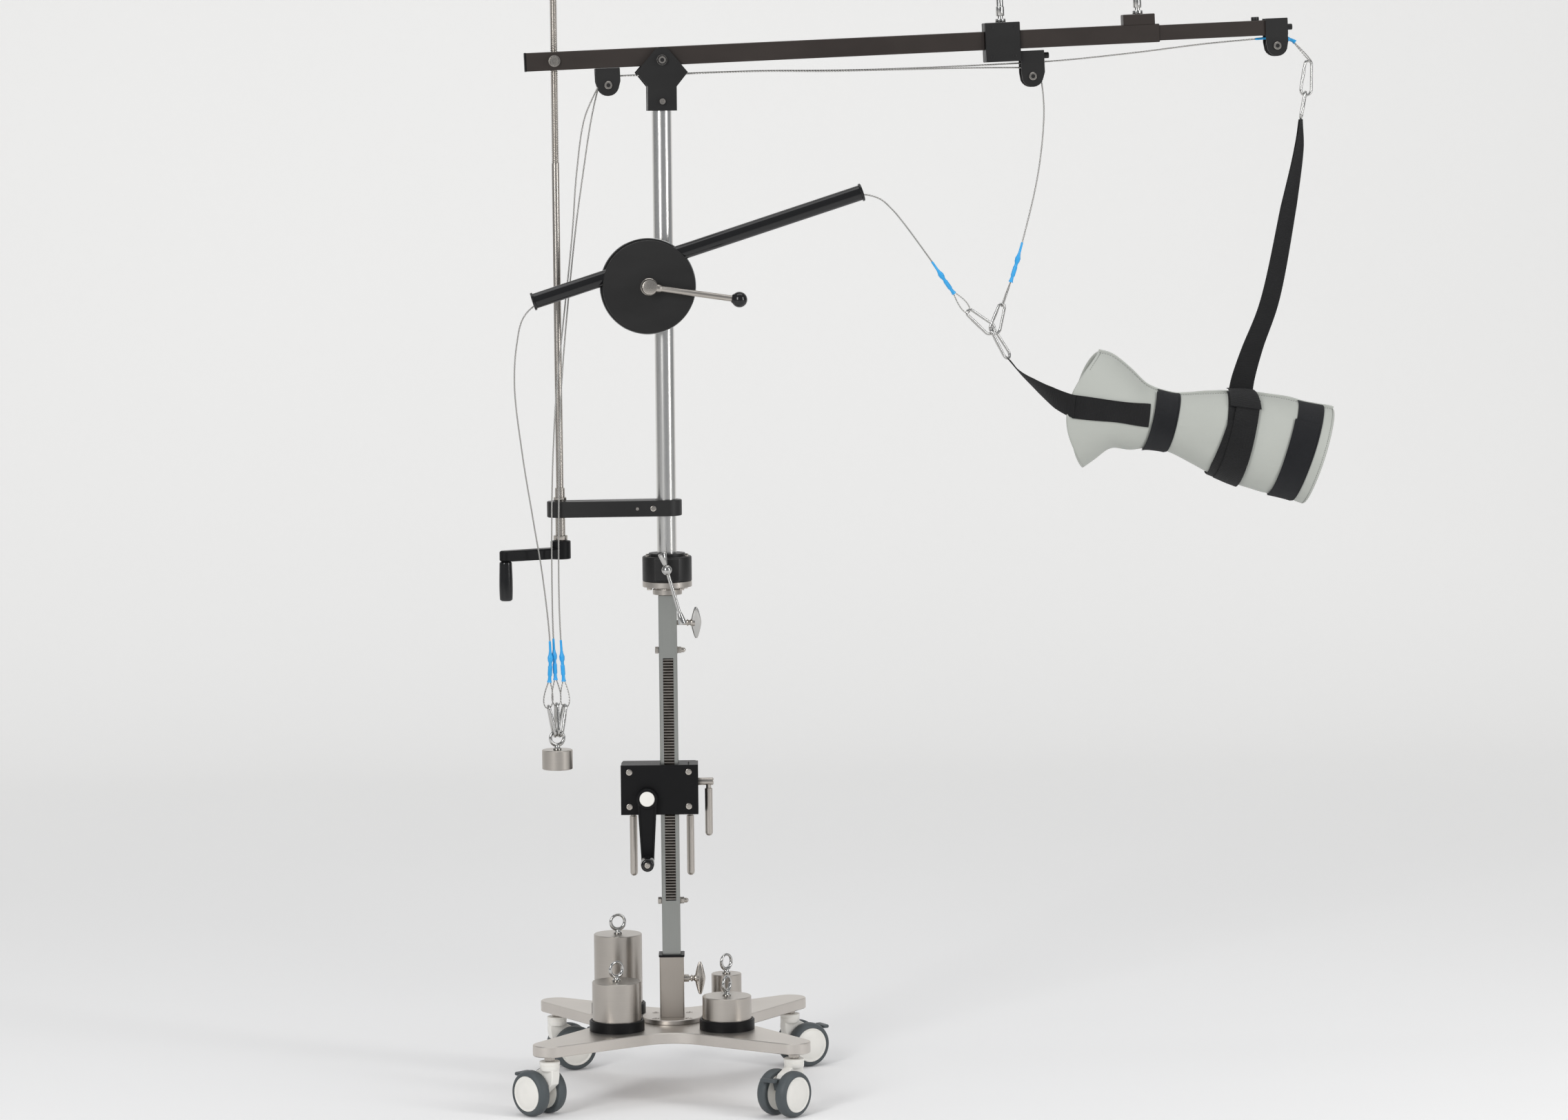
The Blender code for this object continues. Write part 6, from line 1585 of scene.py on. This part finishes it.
# The straps' cross-lines: middle, half width, lean and twist in radians
LONG_STRAP = (
    ((1.0528, 0.000, 1.4905), 0.0050, 0.1, 0.9),
    ((1.0500, 0.000, 1.4450), 0.0100, 0.15, 0.6),
    ((1.0330, 0.000, 1.3500), 0.0155, 0.15, 0.4),
    ((1.0000, 0.000, 1.1900), 0.0175, 0.10, 0.25),
    ((0.9710, 0.000, 1.1130), 0.0185, 0.00, 0.15),
    ((0.9560, -0.001, 1.0660), 0.0195, -0.10, 0.06),
    ((0.9515, -0.003, 1.0455), 0.0198, -0.15, 0.0),
)
SHORT_STRAP = (
    ((0.5667, -0.004, 1.1021), 0.0050, -0.5, 1.1),
    ((0.5840, -0.010, 1.0810), 0.0090, -0.9, 0.9),
    ((0.6080, -0.024, 1.0600), 0.0140, -1.2, 0.5),
    ((0.6340, -0.044, 1.0410), 0.0178, -1.45, 0.2),
    ((0.6560, -0.0590, 1.0300), 0.0186, -1.60, 0.05),
    ((0.6660, -0.0628, 1.0265), 0.0187, -1.66, 0.0),
)
# The sewn end of the hand strap: its ends along x, their heights, and its half width
PATCH_LEFT = 0.6640
PATCH_RIGHT = 0.7930
PATCH_LEFT_Z = 1.0265
PATCH_RIGHT_Z = 1.0086
PATCH_HALF = 0.0186


def build_straps():
    """The doubled long strap, the layers round the cuff with their keeper, and the hand strap."""
    first = strap("long_strap_front", LONG_STRAP, 0.0014, "webbing", offset=0.0010)
    second = strap("long_strap_back", LONG_STRAP, 0.0014, "webbing", offset=-0.0010)
    for piece in (first, second):
        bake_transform(piece)
        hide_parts("long_strap")

    top, low, wide = BANDS["middle"]

    def centre(turn):
        return (top + low) / 2 + (top - low) / 2 * np.sin(turn)

    def under_centre(turn):
        return centre(turn) - 0.0130 * np.clip(-np.sin(turn) + 0.25, 0, 1)

    def front_centre(turn):
        return 0.9438 + 0.0012 * np.sin(turn * 2)

    def width(turn):
        return np.full_like(turn, wide)

    def keeper_centre(turn):
        return centre(turn) + 0.008 * (turn - 1.6)

    def keeper_width(turn):
        return 0.0395 + 0.0085 * (turn - math.radians(92)) / math.radians(48)

    def front_width(turn):
        return 0.0385 - 0.0040 * np.sin(turn)

    wrap("strap_loop", centre, width, 0, 360, 0.0006, 0.0015, "webbing")
    wrap("strap_loop_under", under_centre, width, 160, 285, 0.0024, 0.0014, "webbing", 80)
    wrap("strap_front", front_centre, front_width, 125, 262, 0.0041, 0.0015, "webbing", 80)
    wrap("strap_keeper", keeper_centre, keeper_width, 86, 140, 0.0059, 0.0018, "webbing", 40)
    band = strap("hand_strap", SHORT_STRAP, 0.0018, "webbing", "beam")
    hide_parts("short_strap")
    build_hand_patch()


def build_hand_patch():
    """The hand strap's flat end, sewn along the cuff's front: a slanting oblong laid on its surface."""
    s = np.linspace(0, 1, 70)[:, None]
    span = np.linspace(-1, 1, 20)
    edge = np.concatenate([span, span[::-1]])[None, :]
    level = np.repeat([0.0022, 0.0004], len(span))[None, :]
    x = PATCH_LEFT + (PATCH_RIGHT - PATCH_LEFT) * s + 0.0022 * edge
    z = PATCH_LEFT_Z + (PATCH_RIGHT_Z - PATCH_LEFT_Z) * s + PATCH_HALF * edge
    along, turn = cuff_front(x, z)
    show(grid_mesh("hand_strap_patch", cuff_point(along, turn, level), sharp=40.0), "beam", "webbing")


# Stage

# Where the camera stands, how it is panned, tilted and rolled, and its focal length in mm
CAMERA_PLACE = (-0.540, -8.373, 1.528)
CAMERA_PAN = math.radians(-5.0)
CAMERA_TILT = math.radians(90 - 5.1)
CAMERA_ROLL = math.radians(-0.57)
CAMERA_LENS = 117.94


def build_stage():
    """Camera, lights and backdrop."""
    build_camera()
    build_lights()
    build_backdrop()


def build_camera():
    """The photograph's view: where it stands, where it looks and its lens."""
    data = bpy.data.cameras.new("camera")
    data.sensor_width = 36.0
    data.lens = CAMERA_LENS
    data.clip_end = 100.0
    camera = in_scene("camera", data)
    turn = Matrix.Rotation(CAMERA_PAN, 4, "Z") @ Matrix.Rotation(CAMERA_TILT, 4, "X")
    roll = Matrix.Rotation(CAMERA_ROLL, 4, "Z")
    camera.matrix_world = Matrix.Translation(CAMERA_PLACE) @ turn @ roll
    bpy.context.scene.camera = camera


def area_light(name, place, target, width, height, power):
    """A rectangular lamp that faces its target."""
    data = bpy.data.lights.new(name, "AREA")
    data.shape = "RECTANGLE"
    data.size = width
    data.size_y = height
    data.energy = power
    lamp = in_scene(name, data)
    lamp.location = place
    lamp.rotation_euler = (Vector(target) - Vector(place)).to_track_quat("-Z", "Y").to_euler()


def build_lights():
    """Three soft lamps, and a world with its own strength for light, for reflections and for the view."""
    area_light("key", (-2.4, -3.6, 2.6), (0.1, 0, 0.8), 1.1, 2.6, 88)
    area_light("fill", (2.9, -2.2, 1.9), (0.2, 0, 0.8), 0.6, 2.6, 40)
    area_light("top", (0.2, 0.2, 4.2), (0.2, 0, 0.5), 3.2, 2.4, 36)
    world = bpy.data.worlds.new("studio")
    world.use_nodes = True
    tree = world.node_tree
    tree.nodes.clear()
    paths = tree.nodes.new("ShaderNodeLightPath")
    out = tree.nodes.new("ShaderNodeOutputWorld")

    def background(colour, strength):
        made = tree.nodes.new("ShaderNodeBackground")
        made.inputs[0].default_value = (*colour, 1)
        made.inputs[1].default_value = strength
        return made.outputs[0]

    def choose(factor, first, second):
        made = tree.nodes.new("ShaderNodeMixShader")
        tree.links.new(paths.outputs[factor], made.inputs[0])
        tree.links.new(first, made.inputs[1])
        tree.links.new(second, made.inputs[2])
        return made.outputs[0]

    lit = background((0.97, 0.98, 1.0), 0.42)
    mirrored = background((0.90, 0.93, 0.97), 0.32)
    seen = background((0.84, 0.845, 0.84), 1.0)
    tree.links.new(choose("Is Camera Ray", choose("Is Glossy Ray", lit, mirrored), seen), out.inputs[0])
    bpy.context.scene.world = world
    bpy.context.scene.view_settings.view_transform = "Standard"


def build_backdrop():
    """One seamless sweep of floor, quarter round and wall.

    It glows a little, more so with the distance from the frame, of which the part ahead of it counts by 45%
    alone. It is clear when looked at from its rear.
    """
    floor_start = -7.0
    floor_end = 4.0
    bend = 1.6
    half_width = 9.0
    height = 9.0
    turn = np.linspace(0, math.pi / 2, 24)
    y = np.concatenate([[floor_start, floor_end], floor_end + bend * np.sin(turn)[1:], [floor_end + bend]])
    z = np.concatenate([[0.0, 0.0], bend - bend * np.cos(turn)[1:], [height]]) + FLOOR_Z
    points = np.column_stack([np.tile((-half_width, half_width), len(y)), np.repeat(y, 2), np.repeat(z, 2)])
    mesh = bpy.data.meshes.new("backdrop")
    index = np.arange(len(y) - 1)[:, None] * 2 + np.array([0, 1, 3, 2])[None, :]
    mesh.from_pydata(points, [], index.tolist())
    mesh.shade_smooth()
    sweep = in_scene("backdrop", mesh)
    finish = Finish("paper", (0.87, 0.87, 0.865), 0.9, 0.0, {"Emission Strength": 1.0})
    clouds = finish.noise((0.8, 0.8, 0.8), 2.0)
    finish.colour(clouds, (0.86, 0.86, 0.855), (0.88, 0.88, 0.875))
    split = finish.node("ShaderNodeSeparateXYZ", None, {0: finish.place()}).outputs
    aside, depth = Value(finish, split[0]), Value(finish, split[1])
    ahead = depth * (0.45 + (depth > 0.0) * 0.55)
    away = (aside * aside + ahead * ahead).power(0.5)
    rise = finish.node("ShaderNodeMapRange", {"clamp": True}, {0: away, 1: 0.0, 2: floor_end + bend})
    glow = finish.blend(Value(finish, rise.outputs[0]), (0.066, 0.063, 0.066), (0.305, 0.300, 0.290))
    paths = finish.node("ShaderNodeLightPath").outputs
    mirrored = Value(finish, paths["Is Glossy Ray"]) + Value(finish, paths["Is Transmission Ray"])
    seen = Value(finish, paths["Is Camera Ray"]) + mirrored
    shown = finish.node("ShaderNodeVectorMath", {"operation": "SCALE"}, {0: glow, "Scale": seen})
    finish.give(finish.shader, {"Emission Color": shown.outputs[0]})
    rear = finish.node("ShaderNodeNewGeometry").outputs["Backfacing"]
    clear = finish.node("ShaderNodeBsdfTransparent").outputs[0]
    sides = finish.node("ShaderNodeMixShader", None, {0: rear, 1: finish.shader.outputs[0], 2: clear})
    finish.give(finish.tree.nodes["Material Output"], {"Surface": sides.outputs[0]})
    mesh.materials.append(finish.material)


# Add-on


class TractionColours(bpy.types.PropertyGroup):
    """Colours that someone would change, as linear values."""

    steel: FloatVectorProperty(name="Stainless steel", description="Plates, tubes and turned pieces",
                               subtype="COLOR", size=3, default=(0.50, 0.465, 0.425))
    anodised: FloatVectorProperty(name="Anodised", description="Brackets, hub and discs", subtype="COLOR",
                                  size=3, default=(0.0170, 0.0165, 0.0162))
    beam: FloatVectorProperty(name="Beam", description="Worn anodised finish of the beam", subtype="COLOR",
                              size=3, default=(0.034, 0.0265, 0.0230))
    plastic: FloatVectorProperty(name="Black plastic", description="Lift box, cranks and grips",
                                 subtype="COLOR", size=3, default=(0.007, 0.007, 0.0075))
    tyre: FloatVectorProperty(name="Tyre", description="Caster tyres and pedals", subtype="COLOR", size=3,
                              default=(0.075, 0.088, 0.094))
    cuff: FloatVectorProperty(name="Cuff", description="Padded cover", subtype="COLOR", size=3,
                              default=(0.46, 0.475, 0.437))
    webbing: FloatVectorProperty(name="Webbing", description="Straps", subtype="COLOR", size=3,
                                 default=(0.0096, 0.0096, 0.0100))
    sleeve: FloatVectorProperty(name="Sleeves", description="Shrunk sleeves on the cords", subtype="COLOR",
                                size=3, default=(0.025, 0.39, 0.82))


class TractionSizes(bpy.types.PropertyGroup):
    """Sizes that someone would change, in metres."""

    cord: FloatProperty(name="Cord", description="Diameter of the wire rope", unit="LENGTH", precision=4,
                        min=0.0005, default=0.0025)
    loop: FloatProperty(name="Eye", description="Length of the eye at each cord's end", unit="LENGTH",
                        precision=4, min=0.010, default=0.042)


class TRACTION_OT_stage(bpy.types.Operator):
    """Camera, lights and the seamless backdrop"""

    bl_idname = "traction.stage"
    bl_label = "Stage"
    bl_options = {"REGISTER", "UNDO"}

    def execute(self, context):
        build_stage()
        return {"FINISHED"}


class TRACTION_OT_base(bpy.types.Operator):
    """X-shaped plate, weight cups and the sleeve for the column"""

    bl_idname = "traction.base"
    bl_label = "Base"
    bl_options = {"REGISTER", "UNDO"}

    def execute(self, context):
        build_base()
        return {"FINISHED"}


class TRACTION_OT_casters(bpy.types.Operator):
    """Four twin-wheel casters with brake pedals"""

    bl_idname = "traction.casters"
    bl_label = "Casters"
    bl_options = {"REGISTER", "UNDO"}

    def execute(self, context):
        build_casters()
        return {"FINISHED"}


class TRACTION_OT_weights(bpy.types.Operator):
    """The weights stored in their cups"""

    bl_idname = "traction.weights"
    bl_label = "Weights"
    bl_options = {"REGISTER", "UNDO"}

    def execute(self, context):
        build_weights()
        return {"FINISHED"}


class TRACTION_OT_column(bpy.types.Operator):
    """Column with its rack, bolts, head disc, hub and wing screws"""

    bl_idname = "traction.column"
    bl_label = "Column"
    bl_options = {"REGISTER", "UNDO"}

    def execute(self, context):
        build_column()
        return {"FINISHED"}


class TRACTION_OT_swivel_clamp(bpy.types.Operator):
    """Clamping screw of the hub with its sliding bar"""

    bl_idname = "traction.swivel_clamp"
    bl_label = "Swivel clamp"
    bl_options = {"REGISTER", "UNDO"}

    def execute(self, context):
        build_swivel_clamp()
        return {"FINISHED"}


class TRACTION_OT_lift(bpy.types.Operator):
    """Lift box with its crank and levers"""

    bl_idname = "traction.lift"
    bl_label = "Lift"
    bl_options = {"REGISTER", "UNDO"}

    def execute(self, context):
        build_lift()
        return {"FINISHED"}


class TRACTION_OT_mast(bpy.types.Operator):
    """Pole, screw arm, head bracket, disc joint and guide tube"""

    bl_idname = "traction.mast"
    bl_label = "Mast"
    bl_options = {"REGISTER", "UNDO"}

    def execute(self, context):
        build_mast()
        return {"FINISHED"}


class TRACTION_OT_tilt_screw(bpy.types.Operator):
    """Threaded screw that tilts the beam, with its crank"""

    bl_idname = "traction.tilt_screw"
    bl_label = "Tilt screw"
    bl_options = {"REGISTER", "UNDO"}

    def execute(self, context):
        build_tilt_screw()
        return {"FINISHED"}


class TRACTION_OT_beam(bpy.types.Operator):
    """Beam tubes, pulleys and locking handles"""

    bl_idname = "traction.beam"
    bl_label = "Beam"
    bl_options = {"REGISTER", "UNDO"}

    def execute(self, context):
        build_beam()
        return {"FINISHED"}


class TRACTION_OT_snap_rings(bpy.types.Operator):
    """Snap rings and the hanging weight"""

    bl_idname = "traction.snap_rings"
    bl_label = "Snap rings"
    bl_options = {"REGISTER", "UNDO"}

    def execute(self, context):
        build_snap_rings()
        return {"FINISHED"}


class TRACTION_OT_cords(bpy.types.Operator):
    """Wire ropes with their eyes and blue sleeves"""

    bl_idname = "traction.cords"
    bl_label = "Cords"
    bl_options = {"REGISTER", "UNDO"}

    def execute(self, context):
        build_cords()
        return {"FINISHED"}


class TRACTION_OT_cuff(bpy.types.Operator):
    """Padded forearm cuff with its bands and stitching"""

    bl_idname = "traction.cuff"
    bl_label = "Cuff"
    bl_options = {"REGISTER", "UNDO"}

    def execute(self, context):
        build_cuff()
        return {"FINISHED"}


class TRACTION_OT_straps(bpy.types.Operator):
    """Webbing straps that carry the cuff"""

    bl_idname = "traction.straps"
    bl_label = "Straps"
    bl_options = {"REGISTER", "UNDO"}

    def execute(self, context):
        build_straps()
        return {"FINISHED"}


OPERATORS = (
    TRACTION_OT_stage,
    TRACTION_OT_base,
    TRACTION_OT_casters,
    TRACTION_OT_weights,
    TRACTION_OT_column,
    TRACTION_OT_swivel_clamp,
    TRACTION_OT_lift,
    TRACTION_OT_mast,
    TRACTION_OT_tilt_screw,
    TRACTION_OT_beam,
    TRACTION_OT_snap_rings,
    TRACTION_OT_cords,
    TRACTION_OT_cuff,
    TRACTION_OT_straps,
)


class TRACTION_PT_panel(bpy.types.Panel):
    """Lists the frame's colours, sizes and operators."""

    bl_label = "Traction Frame"
    bl_idname = "TRACTION_PT_panel"
    bl_space_type = "VIEW_3D"
    bl_region_type = "UI"
    bl_category = "Traction"

    def draw(self, context):
        scene = context.scene
        for group in (scene.traction_colours, scene.traction_sizes):
            for key in group.__annotations__:
                self.layout.prop(group, key)
        for cls in OPERATORS:
            self.layout.operator(cls.bl_idname)


CLASSES = (TractionColours, TractionSizes, *OPERATORS, TRACTION_PT_panel)


def register():
    for cls in CLASSES:
        bpy.utils.register_class(cls)
    bpy.types.Scene.traction_colours = PointerProperty(type=TractionColours)
    bpy.types.Scene.traction_sizes = PointerProperty(type=TractionSizes)


def unregister():
    del bpy.types.Scene.traction_sizes
    del bpy.types.Scene.traction_colours
    for cls in reversed(CLASSES):
        bpy.utils.unregister_class(cls)


def main():
    """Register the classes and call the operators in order."""
    register()
    bpy.ops.traction.stage()
    bpy.ops.traction.base()
    bpy.ops.traction.casters()
    bpy.ops.traction.weights()
    bpy.ops.traction.column()
    bpy.ops.traction.swivel_clamp()
    bpy.ops.traction.lift()
    bpy.ops.traction.mast()
    bpy.ops.traction.tilt_screw()
    bpy.ops.traction.beam()
    bpy.ops.traction.snap_rings()
    bpy.ops.traction.cords()
    bpy.ops.traction.cuff()
    bpy.ops.traction.straps()


if __name__ == "__main__":
    main()
